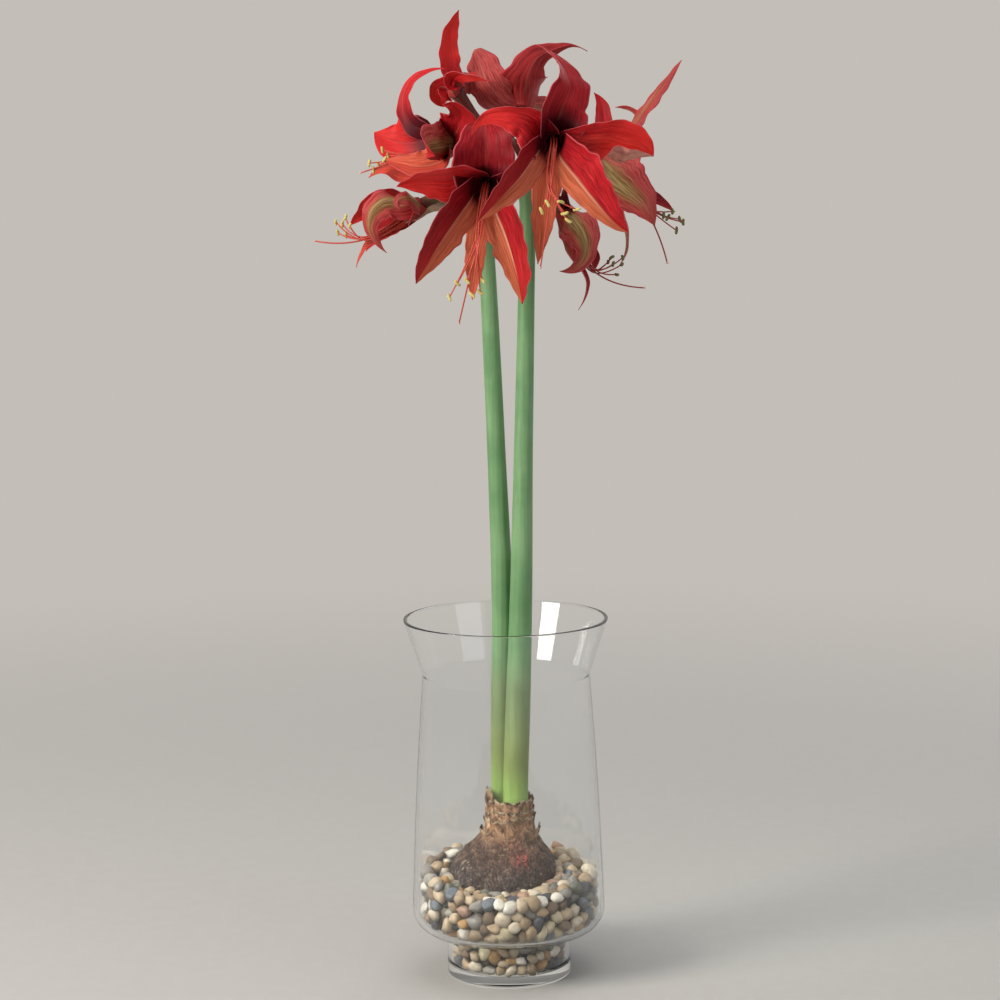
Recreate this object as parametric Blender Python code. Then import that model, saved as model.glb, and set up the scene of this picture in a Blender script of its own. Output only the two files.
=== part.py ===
"""An amaryllis growing from its bulb in a footed glass vase of pebbles.

The frame is metres with +Z up. The origin is the centre of the vase's foot, on the surface that it
stands on. Sizes below are in millimetres, and MM turns them into metres.
"""
from math import cos, pi, sin

import bmesh
import bpy
import numpy as np
from mathutils import Vector

MM = 0.001
GAP = 0.3                # clearance between the vase and the pebbles
BULB_GAP = 0.4           # clearance between the pebbles and the bulb

# vase
VASE_HEIGHT = 320.0
RIM_RADIUS = 90.0
WAIST_RADIUS = 73.5
WAIST_HEIGHT = 270.0
BODY_RADIUS = 85.2
BODY_BASE = 60.0         # height at which the body is widest
SHELF_HEIGHT = 41.0      # underside of the body, where the foot meets it
FOOT_RADIUS = 54.8
BODY_CORNER = 19.5       # radius of the rounded bottom of the body
SIDE_BOW = 1.2           # how far the sides stand out from straight
WALL = 4.0
FOOT_FLOOR = 12.0        # thickness of glass under the pebbles
VASE_STEPS = 48

# pebbles and bulb
BED_TOP = 94.0           # height of the pebbles on the axis
BED_SLOPE = 0.12         # they lie higher at the back by this much
BULB_AXIS = (-6.0, 0.0)
NECK_AXIS = (1.5, 0.0)
BULB_BASE = 60.0
BULB_RADIUS = 48.0
NECK_RADIUS = 20.5
NECK_TOP = 146.0
TUNIC_TOP = 161.0
TUNIC_BASE = 139.0
TUNIC_THICKNESS = 1.2
TUNIC_CLEARANCE = 0.8    # between the neck and the dry skin round it
TUNIC_WAIST = 0.4        # how far the dry skin draws in at the middle of its height
BULB_SIDES = 28

# flower parts
TEPAL_THICKNESS = 1.2
TEPAL_STEPS = 9          # cross-sections along a tepal
CLAW_WIDTH = 5.8         # width of a tepal where it leaves the throat
THROAT_RING = 7.1        # radius on which the tepals stand round the throat
CLAW_DEPTH = 3.0         # how far the tepals reach down outside the throat
CLAW_LEAN = (0.85, 0.5)  # a tepal leaves its base this much along the axis, this much outward
WIDEST_AT = 0.45         # share of a tepal's length at its widest place
KEEL_FOLD = 0.25         # how far the margins rise, as a share of the half width
PERIANTH_TUBE = 38.0     # throat to ovary
OVARY_RADIUS = 5.2
TUBE_RADIUS = 4.2
PEDICEL_RADIUS = 3.2
THROAT_RADIUS = 6.0
TUBE_SIDES = 10
SEAT_WIDTH = 7.0         # of the small pad in the throat that the stamens rise from
SEAT_HEIGHT = 0.8
SEAT_DROP = 0.25         # how far the pad lies below the throat's centre
TUBE_DROP = 1.0          # how far the perianth tube's mouth lies below the throat's centre
FILAMENT_WIDTH = 1.2
ANTHER_WIDTH = 2.4
ANTHER_LENGTH = 5.0

# Each stalk is a list of (centre, radius) from the bulb's neck to the place where the flowers part.
STALKS = {
    "left": [((-5.3, 9.3, 146.8), 9.0), ((-4, 10, 240), 9.6), ((-2.6, 10, 334), 9.4),
             ((-6, 9, 458), 8.0), ((-11, 8, 597), 7.3), ((-15, 6, 676), 7.0)],
    "right": [((7, -7.5, 146.8), 11.0), ((10, -8.5, 240), 10.9), ((13.7, -7, 336), 9.9),
              ((17, -4, 459), 8.3), ((21, 0, 597), 7.2), ((23.5, 0, 697), 7.0)],
}

BRACT_ROUTE = [(-14, 4, 671), (-34, -8, 673), (-54, -20, 668), (-70, -29, 660), (-86, -35, 648)]
BRACT_WIDTH = 12.0
BRACT_THICKNESS = 1.6


class Flower:
    """One flower: its stalk, the centre of its throat, the way it faces and its six tepals.

    A tepal is (azimuth, width, twist, route). The azimuth runs anticlockwise as the flower is seen
    from its front, from its right-hand side. The twist turns the blade about its midrib by its tip,
    in degrees. The route is the midrib's own points, from the throat, to the tip. The stamens are
    (via, ends, style): a point that all pass, the six anthers and the end of the style.
    """

    def __init__(self, stalk, throat, faces, tepals, stamens):
        self.stalk = stalk
        self.throat = np.array(throat, float)
        self.axis = np.array(faces, float) / np.linalg.norm(faces)
        self.tepals = tepals
        self.stamens = stamens
        up = np.array((0.0, -1.0, 0.0)) if abs(self.axis[2]) > 0.9 else np.array((0.0, 0.0, 1.0))
        right = np.cross(up, self.axis)
        self.right = right / np.linalg.norm(right)
        self.up = np.cross(self.axis, self.right)


FLOWERS = {
    "front_right": Flower("right", (44, -74, 735), (0.1, -0.96, -0.22), [
        (84, 36, -20, [(10, -14, 20), (18, -8, 42), (9, 6, 63), (-13, 16, 78)]),
        (142, 28, 35, [(-18, -18, 18), (-38, -22, 23), (-58, -16, 19), (-68, -8, 3)]),
        (18, 44, 0, [(20, -16, 4), (43, -20, 6), (66, -12, 6), (83, 4, -10)]),
        (207, 32, 0, [(-16, -17, -15), (-31, -26, -34), (-48, -28, -51), (-63, -24, -66)]),
        (316, 40, 0, [(13, -16, -17), (29, -26, -35), (45, -26, -56), (61, -20, -77)]),
        (261, 20, 0, [(-3, -6, -21), (-8, -6, -50), (-11, -4, -79), (-14, -2, -103)]),
    ], ((-3, -26, -41),
        [(-11, -30, -58), (-6, -32, -52), (5, -32, -51), (18, -30, -57), (8, -34, -60),
         (11, -28, -66)], (-12, -22, -104))),
    "front_left": Flower("left", (-12, -44, 698), (-0.12, -0.93, -0.34), [
        (88, 44, 0, [(0, -13, 16), (0, -15, 33), (0, -6, 47), (0, 12, 52)]),
        (148, 36, 20, [(-14, -12, 5), (-34, -18, 4), (-55, -18, 4), (-75, -12, -1)]),
        (205, 38, 0, [(-14, -17, -14), (-31, -26, -37), (-46, -24, -59), (-60, -14, -82)]),
        (316, 38, 0, [(9, -16, -19), (18, -25, -43), (23, -22, -71), (31, -16, -101)]),
        (260, 19, 0, [(-4, -4, -24), (-9, -5, -50), (-11, -4, -71), (-13, -2, -97)]),
        (25, 22, 0, [(15, -10, 3), (24, -4, 8), (31, 8, 10), (34, 20, 4)]),
    ], ((-7, -30, -41),
        [(-25, -32, -81), (-32, -30, -93), (-17, -36, -79), (-4, -32, -79), (-13, -34, -91),
         (-6, -28, -89)], (-24, -26, -114))),
    "left": Flower("left", (-41, -8, 730), (-0.93, -0.25, -0.12), [
        (102, 26, 0, [(-18, -2, 15), (-37, 3, 26), (-42, 9, 45), (-27, 10, 61), (-5, 7, 65)]),
        (160, 34, -40, [(-19, 20, 5), (-38, 30, 10), (-54, 38, 5), (-67, 44, 11)]),
        (220, 22, 0, [(-18, 15, -14), (-42, 24, -23), (-58, 29, -19), (-73, 34, -27)]),
        (350, 36, 0, [(-8, -24, 0), (-18, -40, 5), (-22, -50, 9), (-12, -60, -5)]),
        (284, 22, 0, [(-14, -10, -15), (-29, -10, -17), (-43, -4, -15), (-57, 6, -11)]),
        (46, 30, -50, [(6, -20, 15), (9, -29, 26), (3, -34, 33), (-7, -34, 34)]),
    ], ((-32, 6, -8),
        [(-60, 12, -3), (-58, 8, -11), (-71, 10, -14), (-68, 12, -20), (-64, 18, -16),
         (-55, 18, -8)], (-78, 12, -22))),
    "left_low": Flower("left", (-70, -24, 678), (-0.78, -0.38, -0.5), [
        (74, 34, 0, [(-8, -12, 7), (-25, -20, 9), (-38, -22, 0), (-43, -18, -19), (-27, -12, -38)]),
        (132, 30, 0, [(-14, 8, 11), (-29, 13, 9), (-44, 18, 0), (-60, 24, -15)]),
        (248, 15, 0, [(-12, 1, -15), (-29, 0, -22), (-43, 2, -30), (-54, 6, -50)]),
        (312, 14, 0, [(-1, -15, -9), (-6, -25, -12), (-9, -32, -18), (-11, -37, -26)]),
        (14, 19, 0, [(-1, -23, 6), (-8, -35, 10), (-16, -41, 7), (-14, -44, 0)]),
        (190, 18, 0, [(-16, 17, -9), (-30, 26, -19), (-41, 34, -29), (-47, 40, -38)]),
    ], ((-43, -6, -25),
        [(-70, -2, -11), (-69, 0, -20), (-62, -6, -7), (-58, -8, -14), (-65, 6, -13),
         (-62, 6, -22)], (-88, 2, -27))),
    "back": Flower("right", (19, 30, 765), (-0.02, 0.75, 0.66), [
        (40, 42, 0, [(-13, -6, 12), (-22, -8, 24), (-34, -4, 38), (-41, 8, 47), (-41, 22, 43)]),
        (104, 43, 0, [(5, -10, 13), (8, -17, 30), (20, -16, 45), (38, -12, 52), (58, -4, 49)]),
        (178, 26, 0, [(14, 14, 5), (30, 32, 10), (42, 50, 17), (46, 66, 21)]),
        (348, 26, 0, [(-14, 12, 6), (-24, 30, 13), (-30, 50, 20), (-33, 64, 24)]),
        (236, 22, 0, [(11, 20, -12), (21, 36, -21), (27, 50, -30), (31, 56, -41)]),
        (292, 22, 0, [(-7, 18, -12), (-14, 32, -21), (-19, 42, -31), (-23, 46, -42)]),
    ], None),
    "back_left": Flower("right", (-38, 8, 777), (-0.58, -0.2, 0.79), [
        (206, 20, 0, [(-5, 6, 13), (-6, 7, 23), (-10, 10, 37), (-7, 10, 52), (1, 10, 68)]),
        (326, 26, 0, [(-5, -12, -2), (-11, -22, 2), (-5, -31, 11), (12, -36, 14), (30, -40, 6)]),
        (90, 20, 0, [(6, 12, 8), (12, 26, 12), (17, 42, 12), (22, 56, 10)]),
        (264, 13, 0, [(-9, 3, -2), (-11, 13, -5), (-8, 22, -11), (-3, 29, -17)]),
        (28, 14, 0, [(5, -8, 8), (10, -14, 11), (16, -20, 11), (22, -25, 9)]),
        (146, 13, 0, [(-1, 17, 11), (-5, 28, 26), (-4, 33, 38), (2, 38, 48)]),
    ], None),
    "right": Flower("right", (85, 4, 716), (0.74, -0.25, -0.62), [
        (170, 42, 0, [(11, -26, -6), (26, -36, -18), (38, -38, -35), (44, -36, -55)]),
        (107, 16, 0, [(11, 0, 10), (25, -2, 26), (42, -4, 48), (70, -8, 84)]),
        (50, 20, 0, [(14, 10, 14), (29, 17, 30), (31, 23, 41), (15, 26, 48)]),
        (298, 20, 0, [(12, 10, -17), (32, 12, -26), (50, 9, -35), (65, 4, -45)]),
        (353, 21, 0, [(2, 17, 12), (3, 30, 32), (-2, 36, 50), (-10, 38, 59)]),
        (235, 16, 0, [(7, -4, -24), (19, -5, -50), (23, -3, -72), (15, 0, -92)]),
    ], ((36, 0, -37),
        [(54, -12, -47), (58, -8, -49), (71, -12, -53), (65, -12, -60), (62, -4, -44),
         (69, -2, -51)], (57, -10, -87))),
    "right_low": Flower("right", (55, -14, 671), (0.62, -0.35, -0.7), [
        (154, 40, 0, [(9, -21, -7), (17, -28, -21), (21, -30, -36), (12, -28, -47), (-6, -26, -47)]),
        (263, 14, 0, [(2, -3, -19), (8, -7, -37), (18, -10, -60), (10, -10, -81)]),
        (207, 16, 0, [(-6, -9, -16), (-4, -15, -28), (2, -17, -40), (9, -16, -49)]),
        (319, 21, 0, [(15, 7, -17), (25, 10, -29), (30, 14, -40), (26, 20, -49)]),
        (12, 24, 0, [(15, 17, 1), (24, 26, -5), (30, 34, -14), (28, 40, -27)]),
        (68, 22, 0, [(12, 8, 12), (22, 16, 18), (32, 24, 16), (37, 30, 9)]),
    ], ((21, -4, -46),
        [(39, -6, -37), (48, -10, -37), (40, -14, -42), (48, -2, -43), (43, -12, -51),
         (36, 0, -41)], (66, -6, -63))),
}


# ---------------------------------------------------------------- helpers

def material(name, colour, roughness, metallic=0.0, transmission=0.0):
    """A plain Principled material."""
    result = bpy.data.materials.new(name)
    result.use_nodes = True
    shader = result.node_tree.nodes["Principled BSDF"]
    shader.inputs["Base Color"].default_value = (*colour, 1.0)
    shader.inputs["Roughness"].default_value = roughness
    shader.inputs["Metallic"].default_value = metallic
    shader.inputs["Transmission Weight"].default_value = transmission
    return result


def add_object(name, mesh, look, parent=None, location=(0, 0, 0)):
    """Link a mesh to the scene as one named object, shaded smooth."""
    item = bpy.data.objects.new(name, mesh)
    bpy.context.scene.collection.objects.link(item)
    mesh.materials.append(look)
    mesh.shade_smooth()
    item.parent = parent
    item.location = location
    return item


def as_cutter(item):
    """Keep an operand of a Boolean out of the model itself."""
    item.hide_render = True
    item.display_type = "WIRE"


def boolean(body, operation, operand):
    """Join or cut the body with one operand."""
    step = body.modifiers.new(operation.lower(), "BOOLEAN")
    step.operation = operation
    step.object = operand
    as_cutter(operand)


def unit(vector):
    """The vector at length one."""
    vector = np.asarray(vector, float)
    return vector / np.linalg.norm(vector, axis=-1, keepdims=True)


def smooth_route(points, start, count):
    """Points evenly along a smooth curve that passes the given ones and leaves along start."""
    points = np.asarray(points, float)
    spans = np.linalg.norm(np.diff(points, axis=0), axis=1)
    knots = np.concatenate([[0.0], np.cumsum(spans)])
    slopes = np.zeros_like(points)
    slopes[0] = start
    slopes[1:-1] = (points[2:] - points[:-2]) / (knots[2:] - knots[:-2])[:, None]
    slopes[-1] = 2 * (points[-1] - points[-2]) / spans[-1] - slopes[-2]
    along = np.linspace(0, knots[-1], count)
    leg = np.clip(np.searchsorted(knots, along, side="right") - 1, 0, len(spans) - 1)
    span = spans[leg][:, None]
    x = ((along - knots[leg]) / spans[leg])[:, None]
    return ((2 * x**3 - 3 * x**2 + 1) * points[leg] + (x**3 - 2 * x**2 + x) * span * slopes[leg]
            + (3 * x**2 - 2 * x**3) * points[leg + 1] + (x**3 - x**2) * span * slopes[leg + 1])


def frames(route, normal):
    """The normal and the sideways direction at each point, carried along without twisting."""
    tangents = unit(np.gradient(route, axis=0))
    normals = np.zeros_like(route)
    for index, tangent in enumerate(tangents):
        normal = unit(normal - np.dot(normal, tangent) * tangent)
        normals[index] = normal
    return normals, np.cross(tangents, normals)


def rings_mesh(name, rings):
    """A closed mesh through rings of points, given from one end to the other, in millimetres."""
    bm = bmesh.new()
    loops = [[bm.verts.new(Vector(point) * MM) for point in ring] for ring in rings]
    for lower, upper in zip(loops, loops[1:]):
        for index in range(len(lower)):
            after = (index + 1) % len(lower)
            bm.faces.new((lower[index], lower[after], upper[after], upper[index]))
    bm.faces.new(loops[0][::-1])
    bm.faces.new(loops[-1])
    bmesh.ops.recalc_face_normals(bm, faces=bm.faces)
    mesh = bpy.data.meshes.new(name)
    bm.to_mesh(mesh)
    bm.free()
    return mesh


def tube_rings(route, radii, sides):
    """Round cross-sections along a route."""
    normals, sideways = frames(route, (0.31, -0.87, 0.38))
    angles = np.arange(sides) * 2 * pi / sides
    across = (np.cos(angles)[None, :, None] * normals[:, None]
              + np.sin(angles)[None, :, None] * sideways[:, None])
    return route[:, None] + across * np.asarray(radii)[:, None, None]


def turned(name, outline, steps, look, ring=False):
    """Turn an outline of (radius, height) about the vertical axis; a ring's outline is closed."""
    mesh = bpy.data.meshes.new(name)
    points = [(radius * MM, 0.0, height * MM) for radius, height in outline]
    edges = [(i, i + 1) for i in range(len(points) - 1)]
    if ring:
        edges.append((len(points) - 1, 0))
    mesh.from_pydata(points, edges, [])
    item = add_object(name, mesh, look)
    screw = item.modifiers.new("turn", "SCREW")
    screw.axis = "Z"
    screw.steps = steps
    screw.render_steps = steps
    screw.use_merge_vertices = True
    screw.merge_threshold = 0.00001
    screw.use_smooth_shade = True
    return item


# ---------------------------------------------------------------- vase, pebbles and bulb

def body_radius(height):
    """Outer radius of the vase's body, which narrows in a slight curve up to the waist."""
    share = (height - BODY_BASE) / (WAIST_HEIGHT - BODY_BASE)
    straight = BODY_RADIUS + (WAIST_RADIUS - BODY_RADIUS) * share
    return straight + SIDE_BOW * sin(pi * share)


def wall_outline(inset):
    """(radius, height) from the foot to the waist, a wall's thickness in from the outside."""
    heights = np.linspace(BODY_BASE, WAIST_HEIGHT, 7)
    turn = np.radians(np.linspace(-78, 0, 5)[:-1])
    centre = BODY_RADIUS - BODY_CORNER
    reach = BODY_CORNER - inset
    round_part = [(centre + reach * cos(a), BODY_BASE + reach * sin(a)) for a in turn]
    return round_part + [(body_radius(z) - inset, z) for z in heights]


def make_vase(look):
    """One clear glass vessel: a foot, a rounded body, a waist and a flared mouth."""
    lip = WALL / 2
    inside = [(0, FOOT_FLOOR), (FOOT_RADIUS - WALL - 4, FOOT_FLOOR),
              (FOOT_RADIUS - WALL, FOOT_FLOOR + 4), (FOOT_RADIUS - WALL, SHELF_HEIGHT + 1)]
    inside += wall_outline(WALL)
    inside += [(RIM_RADIUS - WALL, VASE_HEIGHT - lip)]
    rim = [(RIM_RADIUS - lip, VASE_HEIGHT), (RIM_RADIUS, VASE_HEIGHT - lip)]
    outside = wall_outline(0)[::-1]
    foot = [(FOOT_RADIUS, SHELF_HEIGHT - 2), (FOOT_RADIUS, 2), (FOOT_RADIUS - 2, 0), (0, 0)]
    return turned("vase", inside + rim + outside + foot, VASE_STEPS, look)


def bulb_rings(swell):
    """The bulb's cross-sections, grown outward by swell for the hollow that it sits in."""
    outline = [(BULB_BASE, 14), (BULB_BASE + 5, 30), (BULB_BASE + 14, 42),
               (BULB_BASE + 28, BULB_RADIUS), (BULB_BASE + 40, 46.0), (BULB_BASE + 50, 39),
               (BULB_BASE + 59, 30), (BULB_BASE + 68, 23.5), (TUNIC_BASE - 4, 21),
               (NECK_TOP, NECK_RADIUS)]
    angles = np.arange(BULB_SIDES) * 2 * pi / BULB_SIDES
    rings = []
    for height, radius in outline:
        share = min(max((height - BULB_BASE - 28) / 45, 0), 1)
        x = BULB_AXIS[0] + (NECK_AXIS[0] - BULB_AXIS[0]) * share
        y = BULB_AXIS[1] + (NECK_AXIS[1] - BULB_AXIS[1]) * share
        grown = radius + swell
        level = height - swell if height == BULB_BASE else height
        rings.append([(x + grown * cos(a), y + grown * sin(a), level) for a in angles])
    return rings


def make_bulb(look):
    """The bulb, with its neck standing clear of the pebbles."""
    return add_object("bulb", rings_mesh("bulb", bulb_rings(0)), look)


def make_pebble_bed(look):
    """The mass of pebbles that fills the foot and the lower body, hollowed for the bulb.

    Its top is a plane that rises towards the back.
    """
    inset = WALL + GAP
    foot = [(FOOT_RADIUS - inset - 4, FOOT_FLOOR + GAP), (FOOT_RADIUS - inset, FOOT_FLOOR + 4),
            (FOOT_RADIUS - inset, SHELF_HEIGHT + 1)]
    side = [(r, z) for r, z in wall_outline(inset) if z < BODY_BASE + 1]
    angles = np.arange(VASE_STEPS) * 2 * pi / VASE_STEPS
    rings = [[(r * cos(a), r * sin(a), z) for a in angles] for r, z in foot + side]
    top = []
    for a in angles:
        level = BED_TOP + BED_SLOPE * body_radius(BED_TOP) * sin(a)
        radius = body_radius(level) - inset
        top.append((radius * cos(a), radius * sin(a), BED_TOP + BED_SLOPE * radius * sin(a)))
    bed = add_object("pebble_bed", rings_mesh("pebble_bed", rings + [top]), look)
    hollow = add_object("bulb_hollow", rings_mesh("bulb_hollow", bulb_rings(BULB_GAP)), look)
    boolean(bed, "DIFFERENCE", hollow)
    return bed


def make_tunic(look):
    """The collar of dry skin that stands round the neck."""
    inner = NECK_RADIUS + TUNIC_CLEARANCE
    outer = inner + TUNIC_THICKNESS
    middle = (TUNIC_BASE + TUNIC_TOP) / 2
    outline = [(inner, TUNIC_BASE), (inner - TUNIC_WAIST, middle), (inner, TUNIC_TOP),
               (outer, TUNIC_TOP), (outer - TUNIC_WAIST, middle), (outer, TUNIC_BASE)]
    tunic = turned("bulb_tunic", outline, BULB_SIDES, look, ring=True)
    tunic.location = (NECK_AXIS[0] * MM, NECK_AXIS[1] * MM, 0)
    return tunic


# ---------------------------------------------------------------- stalks and flowers

def tepal_rings(flower, azimuth, width, twist, route):
    """Cross-sections of one tepal, three points each, from the throat to the tip."""
    angle = np.radians(azimuth)
    outward = cos(angle) * flower.right + sin(angle) * flower.up
    base = THROAT_RING * outward - CLAW_DEPTH * flower.axis
    start = unit(CLAW_LEAN[0] * flower.axis + CLAW_LEAN[1] * outward)
    midrib = smooth_route([base, *route], start, TEPAL_STEPS)
    normals, sideways = frames(midrib, -outward)
    share = np.linspace(0, 1, TEPAL_STEPS)
    turn = np.radians(twist * share)[:, None]
    across = sideways * np.cos(turn) + normals * np.sin(turn)
    rise = normals * np.cos(turn) - sideways * np.sin(turn)
    opening = np.clip(share / WIDEST_AT, 0, 1)
    opening = opening**2 * (3 - 2 * opening)
    half = 0.5 * (CLAW_WIDTH + (width - CLAW_WIDTH) * opening) * (1 - share**2.4)**1.05
    half = np.maximum(half, 0.9)[:, None]
    margin = rise * half * KEEL_FOLD
    return np.stack([midrib - across * half + margin, midrib, midrib + across * half + margin], 1)


def make_tepal(name, flower, tepal, parent, look):
    """One tepal: a folded blade given its thickness by a Solidify modifier."""
    rings = tepal_rings(flower, *tepal)
    bm = bmesh.new()
    rows = [[bm.verts.new(Vector(point) * MM) for point in ring] for ring in rings]
    for near, far in zip(rows, rows[1:]):
        for index in range(2):
            bm.faces.new((near[index], near[index + 1], far[index + 1], far[index]))
    mesh = bpy.data.meshes.new(name)
    bm.to_mesh(mesh)
    bm.free()
    blade = add_object(name, mesh, look, parent)
    solid = blade.modifiers.new("thickness", "SOLIDIFY")
    solid.thickness = TEPAL_THICKNESS * MM
    solid.offset = 0.0
    return blade


def pedicel_tube(name, flower, look):
    """The stem of one flower, its ovary and its perianth tube, as one tapering tube."""
    top = np.array(STALKS[flower.stalk][-1][0], float)
    throat = flower.throat - TUBE_DROP * flower.axis
    ovary = flower.throat - PERIANTH_TUBE * flower.axis
    low = top - np.array((0, 0, 6.0))
    reach = np.linalg.norm(ovary - top)
    rise = top + np.array((0, 0, 0.3 * reach)) + 0.25 * (ovary - top)
    neck = flower.throat - 0.4 * PERIANTH_TUBE * flower.axis
    route = smooth_route([low, rise, ovary, neck, throat], (0, 0, 1), 13)
    share = np.linspace(0, 1, 13)
    length = np.linalg.norm(np.diff(route, axis=0), axis=1).sum()
    at_ovary = 1 - np.linalg.norm(throat - ovary) / length
    swell = np.exp(-((share - at_ovary) / 0.1)**2)
    flare = np.clip((share - at_ovary) / (1 - at_ovary), 0, 1)**3
    radii = PEDICEL_RADIUS + (TUBE_RADIUS - PEDICEL_RADIUS) * np.clip(share / at_ovary, 0, 1)
    radii = radii + (OVARY_RADIUS - TUBE_RADIUS) * swell + (THROAT_RADIUS - TUBE_RADIUS) * flare
    return add_object(name, rings_mesh(name, tube_rings(route, radii, TUBE_SIDES)), look)


def make_bract(look):
    """The withered sheath that hangs from the top of the left stalk, as a flat tapering strip."""
    route = smooth_route(BRACT_ROUTE, unit((-1, -0.6, 0.2)), 9)
    normals, sideways = frames(route, (0.3, -0.5, 0.8))
    share = np.linspace(0, 1, len(route))
    half = BRACT_WIDTH / 2 * (0.45 + 0.55 * np.sin(pi * share)) * (1 - 0.7 * share**3)
    angles = np.arange(8) * 2 * pi / 8
    rings = (route[:, None]
             + BRACT_THICKNESS / 2 * np.cos(angles)[None, :, None] * normals[:, None]
             + half[:, None, None] * np.sin(angles)[None, :, None] * sideways[:, None])
    return add_object("bract", rings_mesh("bract", rings), look)


def make_stalk(side, look):
    """One flower stalk with the stems and tubes of its own flowers, which grew as one piece."""
    points = [point for point, radius in STALKS[side]]
    heights = [point[2] for point in points]
    route = smooth_route(points, (0, 0, 1), 12)
    radii = np.interp(route[:, 2], heights, [radius for point, radius in STALKS[side]])
    stalk = add_object(f"scape_{side}", rings_mesh("stalk", tube_rings(route, radii, 14)), look)
    for name, flower in FLOWERS.items():
        if flower.stalk == side:
            boolean(stalk, "UNION", pedicel_tube(f"{name}_tube", flower, look))
    if side == "left":
        boolean(stalk, "UNION", make_bract(look))
    return stalk


def stamen_seat(flower):
    """The pad in the throat: nine square cells on top, its cells' middles in order round it."""
    bm = bmesh.new()
    bmesh.ops.create_grid(bm, x_segments=3, y_segments=3, size=SEAT_WIDTH / 2)
    lifted = bmesh.ops.extrude_face_region(bm, geom=bm.faces[:])
    top = [item for item in lifted["geom"] if isinstance(item, bmesh.types.BMFace)]
    corners = [item for item in lifted["geom"] if isinstance(item, bmesh.types.BMVert)]
    bmesh.ops.translate(bm, verts=corners, vec=(0, 0, SEAT_HEIGHT))
    bmesh.ops.recalc_face_normals(bm, faces=bm.faces)
    cells = {}
    for face in top:
        middle = face.calc_center_median()
        cells[round(middle.x / SEAT_WIDTH * 3), round(middle.y / SEAT_WIDTH * 3)] = face
    turn = np.stack([flower.right, flower.up, flower.axis])
    for vert in bm.verts:
        vert.co = Vector(np.array(vert.co) @ turn - SEAT_DROP * flower.axis)
    return bm, cells


def draw_out(bm, face, flower, route, widths):
    """Draw one cell of the pad out along a route as a square stalk of changing width."""
    bmesh.ops.inset_individual(bm, faces=[face], thickness=SEAT_WIDTH / 12)
    middle = face.calc_center_median()
    signs = []
    for vert in face.verts:
        offset = np.array(vert.co - middle)
        signs.append((np.sign(offset @ flower.right), np.sign(offset @ flower.up)))
    normals, sideways = frames(route, flower.up)
    for centre, normal, side, width in zip(route[1:], normals[1:], sideways[1:], widths[1:]):
        face = bmesh.ops.extrude_discrete_faces(bm, faces=[face])["faces"][0]
        for vert, (across, along) in zip(face.verts, signs):
            vert.co = Vector(centre + 0.5 * width * (across * -side + along * normal))


def make_stamens(name, flower, parent, look):
    """Six filaments with their anthers and one style, drawn out of one small pad in the throat."""
    via, ends, style_end = (np.array(value, float) for value in flower.stamens)
    bm, cells = stamen_seat(flower)
    ring = [(-1, -1), (1, -1), (1, 0), (1, 1), (-1, 1), (-1, 0)]
    bearings = [np.arctan2((end - via) @ flower.up, (end - via) @ flower.right) for end in ends]
    order = np.argsort(bearings)
    places = sorted(ring, key=lambda cell: np.arctan2(cell[1], cell[0]))
    for cell, index in zip(places, order):
        offset = (cell[0] * flower.right + cell[1] * flower.up) * SEAT_WIDTH / 3
        start = offset + (SEAT_HEIGHT - SEAT_DROP) * flower.axis
        route = smooth_route([start, via + 0.8 * offset, ends[index]], flower.axis, 7)
        tip = route[-1] + ANTHER_LENGTH * unit(route[-1] - route[-2])
        widths = [FILAMENT_WIDTH] * 6 + [ANTHER_WIDTH, 0.6 * ANTHER_WIDTH]
        draw_out(bm, cells[cell], flower, np.vstack([route, tip]), widths)
    start = (SEAT_HEIGHT - SEAT_DROP) * flower.axis
    route = smooth_route([start, via, style_end], flower.axis, 8)
    draw_out(bm, cells[0, 0], flower, route, [FILAMENT_WIDTH] * 8)
    for vert in bm.verts:
        vert.co *= MM
    bmesh.ops.recalc_face_normals(bm, faces=bm.faces)
    mesh = bpy.data.meshes.new(name)
    bm.to_mesh(mesh)
    bm.free()
    return add_object(name, mesh, look, parent)


def build():
    """Clear the scene and make every sub-part."""
    for item in list(bpy.data.objects):
        bpy.data.objects.remove(item)
    glass = material("clear_glass", (0.9, 0.95, 0.93), 0.03, transmission=1.0)
    stone = material("river_pebbles", (0.45, 0.38, 0.3), 0.6)
    skin = material("bulb_skin", (0.2, 0.1, 0.06), 0.7)
    paper = material("dry_tunic", (0.4, 0.27, 0.13), 0.8)
    stem = material("stalk_green", (0.24, 0.45, 0.2), 0.45)
    petal = material("tepal_red", (0.5, 0.02, 0.03), 0.4)
    stamen = material("stamen_red", (0.75, 0.16, 0.08), 0.5)
    make_vase(glass)
    make_pebble_bed(stone)
    make_bulb(skin)
    make_tunic(paper)
    for side in STALKS:
        make_stalk(side, stem)
    for name, flower in FLOWERS.items():
        holder = bpy.data.objects.new(f"{name}_flower", None)
        bpy.context.scene.collection.objects.link(holder)
        holder.location = Vector(flower.throat) * MM
        for number, tepal in enumerate(flower.tepals, 1):
            make_tepal(f"{name}_tepal_{number}", flower, tepal, holder, petal)
        if flower.stamens:
            make_stamens(f"{name}_stamens", flower, holder, stamen)


build()
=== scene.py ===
"""Looks for an amaryllis that grows from its bulb in a footed glass vase of river pebbles.

The frame is metres with +Z up, and the origin is under the middle of the vase's foot. The tables
below are in millimetres, and MM turns them into metres. Every new piece is a surface worked out
with numpy, as a function of two parameters or as a profile carried along a path.
"""

from functools import partial
from math import cos, pi, radians, sin

import bpy
import numpy as np
from mathutils import Matrix


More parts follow.
